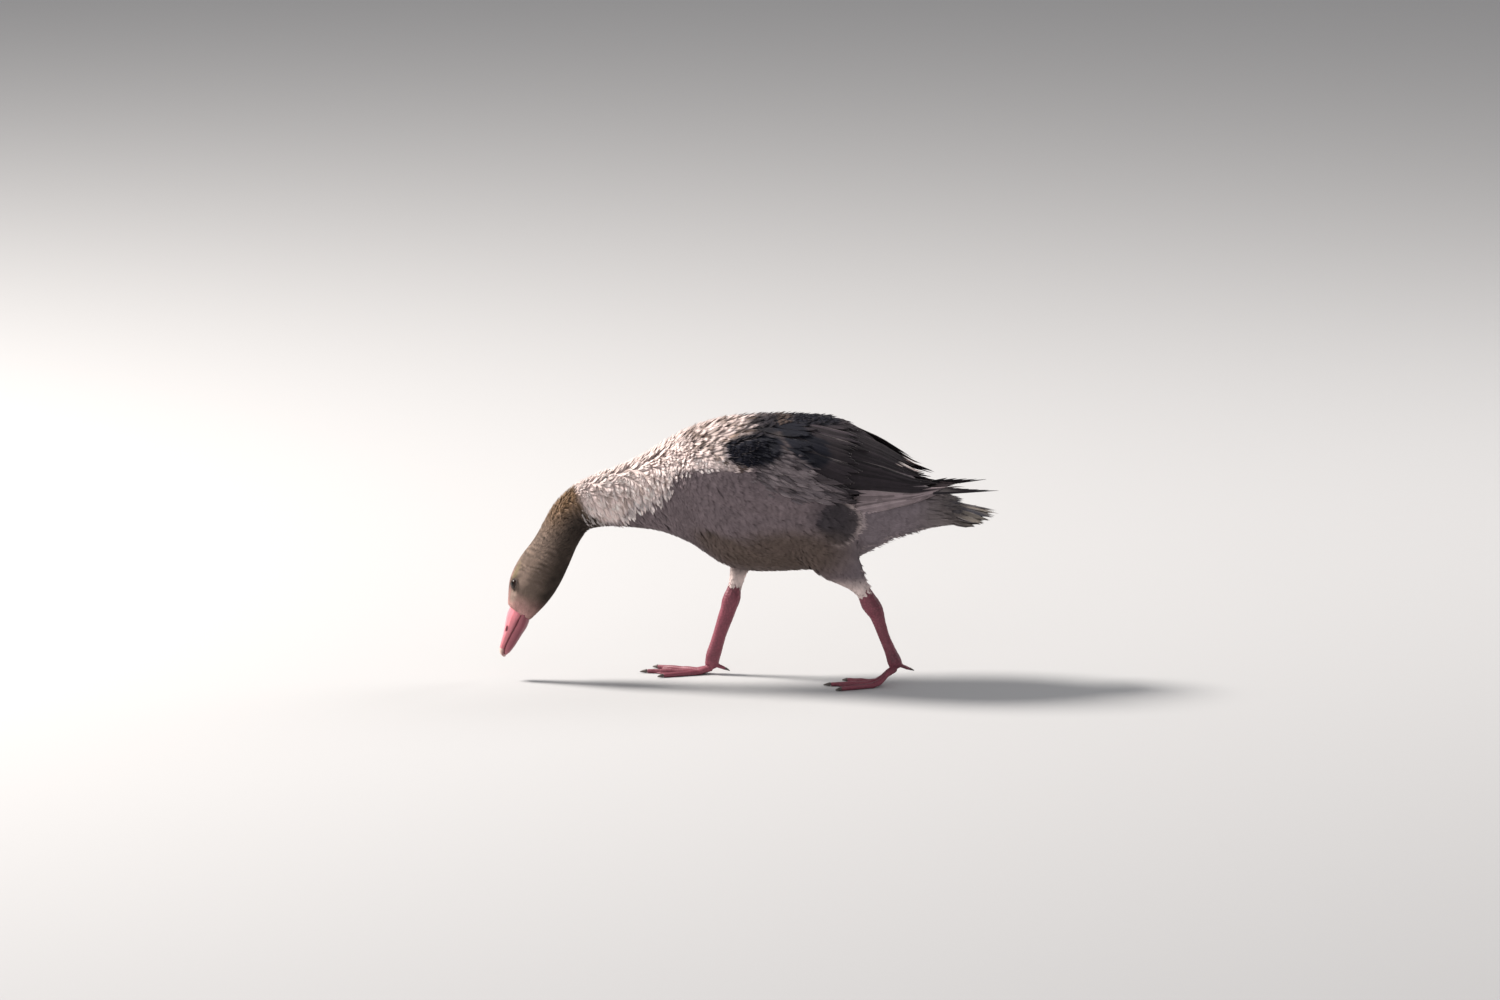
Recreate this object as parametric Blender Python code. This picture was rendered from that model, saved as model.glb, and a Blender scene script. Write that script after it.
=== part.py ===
"""A domestic goose grazing in mid stride, life size, as closed solids that meet with no overlap.

Frame: metres, +Z up. The goose faces -X, so its left side is towards -Y, and it stands on z = 0 with
the middle of its bounding box over the origin. From the bill to the root of the tail the bird is one
bent tube, parted by thin cuts. Wings and thighs are let into the trunk, and the eyes into the head.
Run it with: blender --background --python part.py
"""

import math
from collections import namedtuple

import bmesh
import bpy
from mathutils import Vector

MM = 0.001
CUT = 0.4  # mm, the thin cut between two neighbouring pieces
CLEARANCE = 0.4  # mm, how far a socket stands off what is let into it
ROWS = 10  # points in the upper half of a body ring, and as many in the lower half
BILL_ROWS = 7

# ---------------------------------------------------------------- driving sizes, in millimetres

# Sections of the body tube from the bill to the tail, on the bird's middle plane. depth and width are
# half sizes. lean is the way the tube runs on towards the tail, in degrees over the level, and roll
# turns the crown away from the left side.
Section = namedtuple("Section", "x z depth width lean roll")
BODY = {
    "bill_base": Section(-282.5, 83, 17, 14.8, 56, 24),
    "eyes": Section(-269.5, 111, 28.5, 21.5, 63, 24),
    "cheeks": Section(-256, 136, 30.5, 23.5, 62, 23),
    "occiput": Section(-243, 158, 27.5, 22.5, 62, 20),
    "nape": Section(-231, 181, 26, 22, 62, 14),
    "neck_bend": Section(-218, 202, 27, 23, 54, 7),
    "behind_bend": Section(-202, 214, 30, 25, 32, 3),
    "neck_middle": Section(-183, 222, 33, 29, 16, 0),
    "neck_root": Section(-148, 228, 40.5, 37, 11, 0),
    "crop": Section(-113, 234, 52, 49, 9, 0),
    "shoulders": Section(-77, 238, 70, 65, 6, 0),
    "breast": Section(-40, 234, 89, 79, 2, 0),
    "keel": Section(0, 232, 97, 85, 0, 0),
    "belly": Section(61, 233, 97, 86, 0, 0),
    "flanks": Section(110, 231, 92, 80, -3, 0),
    "vent": Section(145, 226, 72, 65, -6, 0),
    "rump": Section(178, 219, 46, 46, -8, 0),
    "tail_coverts": Section(210, 213, 29, 33, -8, 0),
    "tail_root": Section(236, 209, 19.5, 25, -8, 0),
}
HEAD_END = "nape"
NECK_PARTING = "behind_bend"
TRUNK_START = "crop"
RING_SPACING = 16  # mm between rings of the trunk
HEAD_RING_SPACING = 8

# The bill, on from the head's front face: culmen, mouth line and chin are heights over its axis.
BillSection = namedtuple("BillSection", "along culmen mouth chin width")
BILL = (
    BillSection(0, 14.2, -8.0, -16.2, 13.4),
    BillSection(12, 12.2, -7.0, -15.6, 12.6),
    BillSection(25, 9.6, -4.2, -13.0, 10.9),
    BillSection(38, 8.0, -2.0, -10.4, 9.6),
    BillSection(48, 7.0, -1.2, -7.8, 9.0),
)
BILL_LEAN = 70  # degrees the bill's axis makes with the level
BILL_TURN = 22  # mm over which its sections turn from the head's front face to its axis
BILL_LENGTH = 57
LOWER_BILL_LENGTH = 54
LOWER_BILL_INSET = 1.4  # how much narrower the lower bill is on each side
NAIL_HOOK = 1.8
NOSTRIL = {"along": 22, "height": 3.4, "long": 9, "tall": 3.6, "deep": 3.2}

EYE_RADIUS = 7.5
EYE = {"along": 1.06, "rise": 12.5, "sunk": 5.2}  # along counts in sections of BODY

# Soft forms on the head: where they are (sections along, height, side), how wide, and how high.
SWELLS = (
    {"along": 1.95, "rise": -7, "side": 23, "radius": 17, "height": 2.2},  # cheek
    {"along": 1.20, "rise": 17, "side": 15, "radius": 10, "height": 1.5},  # brow
    {"along": 0.62, "rise": 2, "side": 18, "radius": 10, "height": -1.6},  # lore, hollow
)

# The folded wing is a curved shell, measured as part of an ellipse round the trunk. out and up are the
# ellipse's half sizes, z its centre, low and high its ends in degrees, thick the shell's thickness.
WingSection = namedtuple("WingSection", "x z out up low high thick")
WING = (
    WingSection(-82, 244, 67, 66, 2, 34, 4),
    WingSection(-68, 243, 74, 76, -4, 46, 9),
    WingSection(-40, 239, 84, 88, -8, 58, 14),
    WingSection(-5, 234, 92, 98, -10, 66, 15),
    WingSection(35, 233, 96, 99, -12, 71, 15),
    WingSection(80, 233, 93, 98, -12, 76, 14),
    WingSection(120, 232, 82, 91, -10, 82, 13),
    WingSection(160, 229, 65, 76, -6, 86, 11),
    WingSection(200, 226, 45, 53, -2, 86, 9),
    WingSection(230, 230, 28, 33, 2, 84, 7),
    WingSection(253, 237, 17, 16, 4, 80, 5),
)
WING_ROWS = 9  # points across the outer face of the wing shell
WING_RING_SPACING = 28

# The longest flight feathers of each wing, bundled, on past the wing's end.
TipSection = namedtuple("TipSection", "x y z tall thick")
WING_TIPS = {
    "left": (
        TipSection(253, 12.5, 243, 7.0, 2.4),
        TipSection(268, 13.5, 242, 4.2, 1.6),
        TipSection(287, 15.0, 240, 2.6, 1.1),
        TipSection(303, 16.5, 237.5, 0.9, 0.6),
    ),
    "right": (
        TipSection(253, 12.5, 243, 7.0, 2.4),
        TipSection(264, 13.5, 244, 3.6, 1.5),
        TipSection(277, 14.5, 245, 2.2, 1.0),
        TipSection(289, 15.5, 245.5, 0.9, 0.6),
    ),
}

TailSection = namedtuple("TailSection", "along half_width half_thickness arch")
TAIL = (
    TailSection(0, 25, 19.5, 0),
    TailSection(12, 30, 13.5, 1.5),
    TailSection(27, 37, 7.5, 3),
    TailSection(44, 44, 4.0, 4),
    TailSection(61, 50, 1.4, 4.5),
)
TAIL_DROP = math.radians(2.5)
TAIL_ROUNDING = 0.16  # share of the tail's length by which its outer feathers are shorter

# Legs from the thigh down to the toe joint. y is the distance from the middle plane.
LegSection = namedtuple("LegSection", "x y z depth width")
LEGS = {
    "left": {
        "thigh": (
            LegSection(74, 56, 202, 14, 9),
            LegSection(79, 57, 195, 31, 17),
            LegSection(91, 56, 179, 39, 22),
            LegSection(106, 54, 159, 32, 21),
            LegSection(119, 51, 142, 21, 16.5),
            LegSection(129, 48, 130, 13.5, 12),
            LegSection(137, 45, 119, 10.5, 9.5),
        ),
        "shank": (
            LegSection(137, 45, 119, 9.4, 7.6),
            LegSection(147, 43, 103, 11.6, 8.6),
            LegSection(155, 42, 87, 8.8, 6.6),
            LegSection(163, 42, 63, 6.8, 5.2),
            LegSection(171, 42, 44, 7.2, 5.6),
            LegSection(175, 42, 34, 8.6, 7.2),
        ),
        "joint": Vector((178, 42, 26)),
        "landing": 30,  # how far ahead of the joint the toes come down to the floor
        "toe_turn": 2,
    },
    "right": {
        "thigh": (
            LegSection(14, 48, 210, 12, 10),
            LegSection(11, 50, 200, 27, 20),
            LegSection(4, 50, 180, 32, 23),
            LegSection(-6, 47, 156, 24, 19),
            LegSection(-11, 43, 137, 14.5, 13),
            LegSection(-14.5, 40, 124, 11, 10),
            LegSection(-17, 39, 113, 9.8, 9),
        ),
        "shank": (
            LegSection(-17, 39, 113, 8.8, 7.4),
            LegSection(-22, 38, 96, 10.8, 8.6),
            LegSection(-27, 38, 79, 8.6, 6.6),
            LegSection(-36, 38, 52, 6.8, 5.2),
            LegSection(-42, 38, 32, 7.2, 5.6),
            LegSection(-45, 38, 21, 8.6, 7.2),
        ),
        "joint": Vector((-47, 38, 12)),
        "landing": 20,
        "toe_turn": 4,
    },
}
LEG_ROWS = 6
LEG_RING_SPACING = 9

TOES = {"inner": (27, 64), "middle": (0, 79), "outer": (-25, 75)}  # degrees from the middle toe, mm
TOE_ROWS = 4
TOE_REST = 2.45  # height of a toe's centre line where it lies on the floor
TOE_BASE_RADIUS = 5.4
TOE_TIP_RADIUS = 2.9
KNUCKLES = (0.42, 0.7)  # shares of a toe's length
KNUCKLE_SWELL = 0.7
WEB_REACH = 0.93  # share of the toes' length that the web covers beside them
WEB_SCALLOP = 0.13  # how far its free edge falls back between two toes
WEB_THICKNESS = 1.3
WEB_HEIGHT = 0.3
WEB_CELLS = 4
HIND_TOE_LENGTH = 13
HIND_TOE_RADIUS = 3.4
# The foot's knob: share of the way from the shank's end to the toe joint, half width, half depth.
KNOB = ((0.5, 7.8, 8.8), (1.05, 7.2, 8.4), (1.4, 5.0, 6.2), (1.6, 2.4, 3.2))
CLAW_LENGTHS = {"inner": 7.5, "middle": 9, "outer": 7.5, "hind": 5.5}

# ---------------------------------------------------------------- materials

FINISHES = {
    "plumage_brown": ((0.23, 0.185, 0.155), 0.85),
    "plumage_pale": ((0.66, 0.60, 0.56), 0.85),
    "plumage_grey": ((0.22, 0.20, 0.205), 0.75),
    "plumage_flight": ((0.13, 0.115, 0.12), 0.65),
    "bill_pink": ((0.78, 0.30, 0.28), 0.45),
    "nail_horn": ((0.80, 0.62, 0.55), 0.4),
    "leg_pink": ((0.66, 0.23, 0.25), 0.55),
    "claw_horn": ((0.10, 0.085, 0.08), 0.4),
    "eye_brown": ((0.03, 0.016, 0.01), 0.08),
}


def finish(slot):
    """The material of that name, made on first use."""
    found = bpy.data.materials.get(slot)
    if found:
        return found
    colour, roughness = FINISHES[slot]
    made = bpy.data.materials.new(slot)
    made.use_nodes = True
    shader = made.node_tree.nodes["Principled BSDF"]
    shader.inputs["Base Color"].default_value = (*colour, 1)
    shader.inputs["Roughness"].default_value = roughness
    shader.inputs["Metallic"].default_value = 0
    return made


# ---------------------------------------------------------------- rings and lofts


def smooth(rows, at):
    """The row at a fractional number, on a Catmull-Rom curve through the rows."""
    last = len(rows) - 1
    i = min(int(at), last - 1)
    t = at - i
    p, q, r, s = (rows[min(max(i + k, 0), last)] for k in (-1, 0, 1, 2))
    values = (
        0.5 * (2 * b + (c - a) * t + (2 * a - 5 * b + 4 * c - d) * t**2 + (3 * b - a - 3 * c + d) * t**3)
        for a, b, c, d in zip(p, q, r, s)
    )
    return type(rows[0])(*values) if hasattr(rows[0], "_fields") else tuple(values)


def steps(start, end, count):
    return [start + (end - start) * k / count for k in range(count + 1)]


def power(value, exponent):
    return math.copysign(abs(value) ** exponent, value)


def oval(centre, side, up, width, rise, drop, rows=ROWS, flatness=1.0):
    """A ring round centre: an upper row from +side to -side, then a lower row back.

    A flatness under 1 makes the lower half boxy, as under a bill."""
    ring = []
    for k in range(2 * rows):
        angle = math.pi * (k + 0.5) / rows
        across, height = math.cos(angle), math.sin(angle)
        if height < 0:
            across, height = power(across, flatness), power(height, flatness)
        ring.append(centre + side * (across * width) + up * (height * (rise if height > 0 else drop)))
    return ring


def new_solid(name, bm, slot, sharp_angle=40):
    """Ends a bmesh as a named, smooth-shaded object in metres.

    Twisted quads are split here, so that a socket has just the faces of what sits in it."""
    bmesh.ops.triangulate(bm, faces=bm.faces)
    bm.normal_update()
    bmesh.ops.recalc_face_normals(bm, faces=bm.faces)
    bmesh.ops.scale(bm, vec=(MM, MM, MM), verts=bm.verts)
    mesh = bpy.data.meshes.new(name)
    bm.to_mesh(mesh)
    bm.free()
    mesh.shade_smooth()
    mesh.set_sharp_from_angle(angle=math.radians(sharp_angle))
    mesh.materials.append(finish(slot))
    solid = bpy.data.objects.new(name, mesh)
    bpy.context.scene.collection.objects.link(solid)
    return solid


def cap(bm, loop):
    """Closes a ring with a strip of quads between its upper and its lower row."""
    last = len(loop) - 1
    for k in range(len(loop) // 2 - 1):
        bm.faces.new((loop[k], loop[k + 1], loop[last - k - 1], loop[last - k]))


def loft_mesh(rings):
    """A bmesh through rings of equal length: the first loop is extruded from ring to ring and capped."""
    bm = bmesh.new()
    bmesh.ops.create_circle(bm, segments=len(rings[0]), radius=1)
    loop = list(bm.verts)
    for vertex, point in zip(loop, rings[0]):
        vertex.co = point
    cap(bm, loop)
    edges = [bm.edges.get((a, b)) for a, b in zip(loop, loop[1:] + loop[:1])]
    for ring in rings[1:]:
        grown = bmesh.ops.extrude_edge_only(bm, edges=edges)["geom"]
        fresh = {g for g in grown if isinstance(g, bmesh.types.BMVert)}
        loop = [next(e.other_vert(v) for e in v.link_edges if e.other_vert(v) in fresh) for v in loop]
        for vertex, point in zip(loop, ring):
            vertex.co = point
        edges = [bm.edges.get((a, b)) for a, b in zip(loop, loop[1:] + loop[:1])]
    cap(bm, loop)
    return bm


def loft(name, rings, slot):
    return new_solid(name, loft_mesh(rings), slot)


# ---------------------------------------------------------------- Booleans between pieces


def helper(solid):
    """Marks a solid as a guide or cutter, which is no piece of the bird."""
    solid.hide_render = True
    solid.display_type = "WIRE"
    return solid


def combine(solid, other, operation):
    modifier = solid.modifiers.new(f"{operation.lower()}_{other.name}"[:60], "BOOLEAN")
    modifier.operation = operation
    modifier.object = other


def socket_cutter(solid):
    """A copy of a solid, grown by the clearance all round."""
    cutter = bpy.data.objects.new(f"socket_{solid.name}", solid.data.copy())
    bpy.context.scene.collection.objects.link(cutter)
    grow = cutter.modifiers.new("clearance", "DISPLACE")
    grow.strength = CLEARANCE * MM
    grow.mid_level = 0
    return helper(cutter)


# ---------------------------------------------------------------- the body tube

BODY_NAMES = list(BODY)
BODY_ROWS = list(BODY.values())
Frame = namedtuple("Frame", "centre ahead side up depth width")


def body_frame(at):
    """Centre, directions and half sizes of the body tube at a fractional section number.

    ahead points towards the tail, up to the bird's back and side to its left."""
    here = smooth(BODY_ROWS, at)
    lean, roll = math.radians(here.lean), math.radians(here.roll)
    ahead = Vector((math.cos(lean), 0, math.sin(lean)))
    back = Vector((-ahead.z, 0, ahead.x))
    right = Vector((0, 1, 0))
    up = back * math.cos(roll) + right * math.sin(roll)
    side = back * math.sin(roll) - right * math.cos(roll)
    return Frame(Vector((here.x, 0, here.z)), ahead, side, up, here.depth, here.width)


def body_ring(at, shift=0.0):
    f = body_frame(at)
    return oval(f.centre + f.ahead * shift, f.side, f.up, f.width, f.depth, f.depth)


def body_rings(start, end, spacing):
    """Rings of the tube between two named sections, half a cut short at both ends."""
    first, last = BODY_NAMES.index(start), BODY_NAMES.index(end)
    rings = [body_ring(first, CUT / 2)]
    for number in range(first, last):
        length = (body_frame(number + 1).centre - body_frame(number).centre).length
        count = max(1, round(length / spacing))
        inner = steps(number, number + 1, count)[1:]
        rings += [body_ring(at) for at in (inner if number + 1 < last else inner[:-1])]
    return [*rings, body_ring(last, -CUT / 2)]


def on_head(along, rise, side):
    """A point of the head, side being +1 on the left and -1 on the right times its distance."""
    f = body_frame(along)
    return f.centre + f.up * rise + f.side * side


def swell(bm, centre, radius, height):
    """Raises, or with a negative height hollows, the surface round a point, fading out at radius."""
    bm.normal_update()
    for vertex in bm.verts:
        near = 1 - (vertex.co - centre).length / radius
        if near > 0:
            vertex.co += vertex.normal * (height * near * near * (3 - 2 * near))


def make_eye(name, hand):
    f = body_frame(EYE["along"])
    half_width = f.width * math.sqrt(1 - (EYE["rise"] / f.depth) ** 2)
    centre = on_head(EYE["along"], EYE["rise"], hand * (half_width - EYE["sunk"]))
    bm = bmesh.new()
    bmesh.ops.create_uvsphere(bm, u_segments=12, v_segments=8, radius=EYE_RADIUS)
    bmesh.ops.translate(bm, vec=centre, verts=bm.verts)
    return new_solid(name, bm, "eye_brown")


def make_head():
    bm = loft_mesh(body_rings("bill_base", HEAD_END, HEAD_RING_SPACING))
    for form in SWELLS:
        for hand in (1, -1):
            centre = on_head(form["along"], form["rise"], hand * form["side"])
            swell(bm, centre, form["radius"], form["height"])
    head = new_solid("head", bm, "plumage_brown")
    for name, hand in (("eye_left", 1), ("eye_right", -1)):
        combine(head, socket_cutter(make_eye(name, hand)), "DIFFERENCE")


# ---------------------------------------------------------------- the bill


def bill_row(along):
    """The bill's section at a distance from the head's front face."""
    at = next((k for k, row in enumerate(BILL[1:]) if along <= row.along), len(BILL) - 2)
    span = BILL[at + 1].along - BILL[at].along
    return smooth(BILL, at + min((along - BILL[at].along) / span, 1))


def bill_frame(along):
    """Centre, side and up of the bill's section, a cut away from the head's front face at 0."""
    face = body_frame(0)
    turned = BODY_ROWS[0].lean + (BILL_LEAN - BODY_ROWS[0].lean) * min(along / BILL_TURN, 1)
    axis, here = (Vector((math.cos(a), 0, math.sin(a))) for a in map(math.radians, (BILL_LEAN, turned)))
    roll = math.radians(BODY_ROWS[0].roll)
    back = Vector((-here.z, 0, here.x))
    right = Vector((0, 1, 0))
    up = back * math.cos(roll) + right * math.sin(roll)
    side = back * math.sin(roll) - right * math.cos(roll)
    return face.centre - face.ahead * CUT - axis * along, side, up


def bill_ring(along, top, bottom, width, flatness):
    centre, side, up = bill_frame(along)
    middle = bottom + 0.3 * (top - bottom)
    return oval(centre + up * middle, side, up, width, top - middle, middle - bottom, BILL_ROWS, flatness)


def rounding(along, start, end):
    """From 1 at start to nearly 0 at end, as a quarter circle."""
    return math.sqrt(max(1 - ((along - start) / (end - start)) ** 2, 0.02))


def make_bill():
    nail_start = BILL[-1].along
    upper, nail, lower = [], [], []
    for along in steps(0, nail_start, 10):
        row = bill_row(along)
        upper.append(bill_ring(along, row.culmen, row.mouth, row.width, 0.45))
    upper[-1] = bill_ring(nail_start - CUT, BILL[-1].culmen, BILL[-1].mouth, BILL[-1].width, 0.45)
    for along in steps(nail_start, BILL_LENGTH, 6):
        share = rounding(along, nail_start - 1, BILL_LENGTH + 0.4)
        hook = NAIL_HOOK * (1 - share)
        top = BILL[-1].mouth + (BILL[-1].culmen - BILL[-1].mouth) * share - hook
        nail.append(bill_ring(along, top, BILL[-1].mouth - hook - 0.4, BILL[-1].width * share, 0.6))
    for along in steps(0, LOWER_BILL_LENGTH, 12):
        row = bill_row(along)
        share = rounding(max(along, nail_start - 6), nail_start - 6, LOWER_BILL_LENGTH + 0.6)
        top = row.mouth - CUT - 0.5 * (along / LOWER_BILL_LENGTH) ** 4
        bottom = top + (row.chin - top) * share
        centre, side, up = bill_frame(along)
        width = (row.width - LOWER_BILL_INSET) * share
        lower.append(oval(centre + up * top, side, up, width, 0.0, top - bottom, BILL_ROWS))
    beak = loft("bill_upper", upper, "bill_pink")
    loft("bill_nail", nail, "nail_horn")
    make_lower_bill(lower)
    for hand in (1, -1):
        combine(beak, helper(make_nostril(hand)), "DIFFERENCE")


def make_lower_bill(rings):
    """The upper rows of these rings lie on the mouth line, so each is given a little crown."""
    f = body_frame(0)
    for ring in rings:
        rows = len(ring) // 2
        for k in range(rows):
            ring[k] = ring[k] - f.up * (0.25 * abs(math.cos(math.pi * (k + 0.5) / rows)))
    loft("bill_lower", rings, "bill_pink")


def make_nostril(hand):
    row = bill_row(NOSTRIL["along"])
    middle, side, up = bill_frame(NOSTRIL["along"])
    ahead = up.cross(side)
    centre = middle + up * NOSTRIL["height"] + side * (hand * row.width * 0.86)
    bm = bmesh.new()
    bmesh.ops.create_uvsphere(bm, u_segments=8, v_segments=6, radius=0.5)
    for vertex in bm.verts:
        along, tall, deep = vertex.co.x, vertex.co.z, vertex.co.y
        vertex.co = (
            centre
            + ahead * (along * NOSTRIL["long"])
            + up * (tall * NOSTRIL["tall"] + along * 0.8)
            + side * (deep * NOSTRIL["deep"])
        )
    return new_solid(f"nostril_{'left' if hand > 0 else 'right'}", bm, "bill_pink")


# ---------------------------------------------------------------- wings and tail


def wing_ring(row, hand):
    """A shell's section: outer points from its low to its high edge, then inner points back."""
    outer, inner = [], []
    for k in range(WING_ROWS):
        share = (k + 0.5) / WING_ROWS
        angle = math.radians(row.low + (row.high - row.low) * share)
        half = 0.5 * row.thick * max(1 - abs(2 * share - 1) ** 3, 0.12)
        middle = 0.5 * row.thick
        for points, offset in ((outer, half - middle), (inner, -half - middle)):
            y = (row.out + offset) * math.cos(angle)
            z = row.z + (row.up + offset) * math.sin(angle)
            points.append(Vector((row.x, hand * y, z)))
    return outer + inner[::-1]


def wing_rings(hand):
    rings = []
    for number in range(len(WING) - 1):
        count = max(1, round((WING[number + 1].x - WING[number].x) / WING_RING_SPACING))
        places = steps(number, number + 1, count)[: None if number + 2 == len(WING) else -1]
        rings += [wing_ring(smooth(WING, at), hand) for at in places]
    return rings


def wing_tip_rings(rows, hand):
    rings = []
    for at in steps(0, len(rows) - 1, 6):
        row = smooth(rows, at)
        x = row.x + (CUT if at == 0 else 0)
        centre = Vector((x, hand * row.y, row.z))
        rings.append(oval(centre, Vector((0, 1, 0)), Vector((0, 0, 1)), row.thick, row.tall, row.tall, 5))
    return rings


def make_wings():
    wings = []
    for name, hand in (("left", -1), ("right", 1)):
        wings.append(loft(f"wing_{name}", wing_rings(hand), "plumage_grey"))
        loft(f"wing_tip_{name}", wing_tip_rings(WING_TIPS[name], hand), "plumage_flight")
    return wings


def make_tail():
    root = body_frame(len(BODY_ROWS) - 1)
    back = Vector((math.cos(TAIL_DROP), 0, -math.sin(TAIL_DROP)))
    up = Vector((math.sin(TAIL_DROP), 0, math.cos(TAIL_DROP)))
    left = Vector((0, -1, 0))
    rings = []
    for at in steps(0, len(TAIL) - 1, 8):
        row = smooth(TAIL, at)
        centre = root.centre + root.ahead * (CUT / 2)
        ring = oval(centre, left, up, row.half_width, row.half_thickness, row.half_thickness)
        for k, point in enumerate(ring):
            out = abs(point.y) / row.half_width
            reach = row.along * (1 - TAIL_ROUNDING * out * out)
            ring[k] = point + back * reach - up * (row.arch * out * out)
        rings.append(ring if at else oval(centre, root.side, root.up, root.width, root.depth, root.depth))
    loft("tail", rings, "plumage_pale")


# ---------------------------------------------------------------- legs and feet


def place(row, hand):
    return Vector((row.x, hand * row.y, row.z))


def knee_direction(leg, hand):
    """Down the leg where the thigh's feathers end, the way both pieces are cut there."""
    return (place(leg["shank"][1], hand) - place(leg["thigh"][-2], hand)).normalized()


def leg_rings(rows, hand, first_down=None, last_down=None):
    """Rings down a thigh or a shank. An end that meets the other piece is given the way it faces."""
    last = len(rows) - 1
    length = sum((place(b, hand) - place(a, hand)).length for a, b in zip(rows, rows[1:]))
    rings = []
    for at in steps(0, last, round(length / LEG_RING_SPACING)):
        row, a, b = (smooth(rows, min(max(at + step, 0), last)) for step in (0, -0.02, 0.02))
        down = (place(b, hand) - place(a, hand)).normalized()
        shift = 0
        if at == 0 and first_down:
            down, shift = first_down, CUT / 2
        if at == last and last_down:
            down, shift = last_down, -CUT / 2
        side = Vector((0, 1, 0))
        side = (side - down * side.dot(down)).normalized()
        front = side.cross(down)
        centre = place(row, hand) + down * shift
        rings.append(oval(centre, side, front, row.width, row.depth, row.depth, LEG_ROWS))
    return rings


def toe_height(along, joint_height, landing):
    """Height of a toe's centre line, which comes down from the joint and then lies along the floor."""
    share = min(along / landing, 1)
    ease = share * share * (3 - 2 * share)
    return TOE_REST + (joint_height - 4 - TOE_REST) * (1 - ease)


def toe_direction(hand, degrees, turn):
    """Unit vector on the floor. Positive degrees point to the bird's middle plane, turn away from it."""
    angle = math.radians(degrees - turn)
    return Vector((-math.cos(angle), -hand * math.sin(angle), 0))


def toe_ring(centre, direction, radius, tall):
    side = Vector((-direction.y, direction.x, 0)).normalized()
    ring = oval(centre, side, Vector((0, 0, 1)), radius, tall, tall, TOE_ROWS)
    for point in ring:
        point.z = max(point.z, 0)
    return ring


def make_toe(name, joint, direction, length, landing):
    rings = []
    for along in steps(0, length, 7):
        share = along / length
        knuckle = sum(math.exp(-(((share - k) / 0.06) ** 2)) for k in KNUCKLES) * KNUCKLE_SWELL
        radius = TOE_BASE_RADIUS + (TOE_TIP_RADIUS - TOE_BASE_RADIUS) * share**0.7 + knuckle
        centre = Vector((joint.x, joint.y, 0)) + direction * along
        centre.z = toe_height(along, joint.z, landing)
        rings.append(toe_ring(centre, direction, radius, radius * 0.92))
    return loft(name, rings, "leg_pink")


def make_web(name, joint, hand, turn, toes, landing):
    """The web between two neighbouring toes, a sheet that falls back in a curve at its free edge."""
    (angle_a, length_a), (angle_b, length_b) = toes
    bm = bmesh.new()
    bmesh.ops.create_grid(bm, x_segments=WEB_CELLS, y_segments=WEB_CELLS, size=0.5)
    for vertex in bm.verts:
        across, along = vertex.co.x + 0.5, vertex.co.y + 0.5
        edge = WEB_REACH - WEB_SCALLOP * math.sin(math.pi * across)
        reach = along * edge * (length_a + (length_b - length_a) * across)
        direction = toe_direction(hand, angle_a + (angle_b - angle_a) * across, turn)
        place = Vector((joint.x, joint.y, 0)) + direction * (4 + reach * (1 - 4 / length_a))
        lift = toe_height(reach + 4, joint.z, landing) - TOE_REST
        vertex.co = (place.x, place.y, WEB_HEIGHT + lift + WEB_THICKNESS)
    bmesh.ops.recalc_face_normals(bm, faces=bm.faces)
    if next(iter(bm.faces)).normal.z < 0:
        bmesh.ops.reverse_faces(bm, faces=bm.faces)
    bmesh.ops.solidify(bm, geom=bm.faces, thickness=WEB_THICKNESS)
    return new_solid(name, bm, "leg_pink")


def make_claw(name, root, direction, length, radius, lift=0.0):
    rings = []
    for share in steps(0, 1, 4):
        centre = root + direction * (CUT + share * length)
        size = radius * (1 - share) ** 0.75 + 0.45
        centre.z = max(root.z + lift * share - 0.9 * share * share, size + 0.15)
        rings.append(toe_ring(centre, direction, size * 0.9, size))
    loft(name, rings, "claw_horn")


def make_foot(name, hand, leg):
    joint = Vector((leg["joint"].x, hand * leg["joint"].y, leg["joint"].z))
    turn, landing = leg["toe_turn"], leg["landing"]
    ankle = leg["shank"][-1]
    top = Vector((ankle.x, hand * ankle.y, ankle.z))
    down = (joint - top).normalized()
    side = Vector((0, 1, 0))
    side = (side - down * side.dot(down)).normalized()
    front = side.cross(down)
    rings = leg_rings(leg["shank"], hand)[-1:]
    rings = [[point + down * CUT for point in rings[0]]]
    for along, width, depth in KNOB:
        centre = top + (joint - top) * along
        rings.append(oval(centre, side, front, width, depth, depth, LEG_ROWS))
    for ring in rings:
        for point in ring:
            point.z = max(point.z, 0)
    foot = loft(f"foot_{name}", rings, "leg_pink")
    for toe, (degrees, length) in TOES.items():
        direction = toe_direction(hand, degrees, turn)
        combine(foot, helper(make_toe(f"toe_{toe}_{name}", joint, direction, length, landing)), "UNION")
        root = Vector((joint.x, joint.y, TOE_REST)) + direction * length
        make_claw(f"claw_{toe}_{name}", root, direction, CLAW_LENGTHS[toe], TOE_TIP_RADIUS - 0.8)
    for number, pair in enumerate((("inner", "middle"), ("middle", "outer"))):
        web = make_web(f"web_{number}_{name}", joint, hand, turn, [TOES[toe] for toe in pair], landing)
        combine(foot, helper(web), "UNION")
    make_hind_toe(name, hand, joint, foot)


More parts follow.
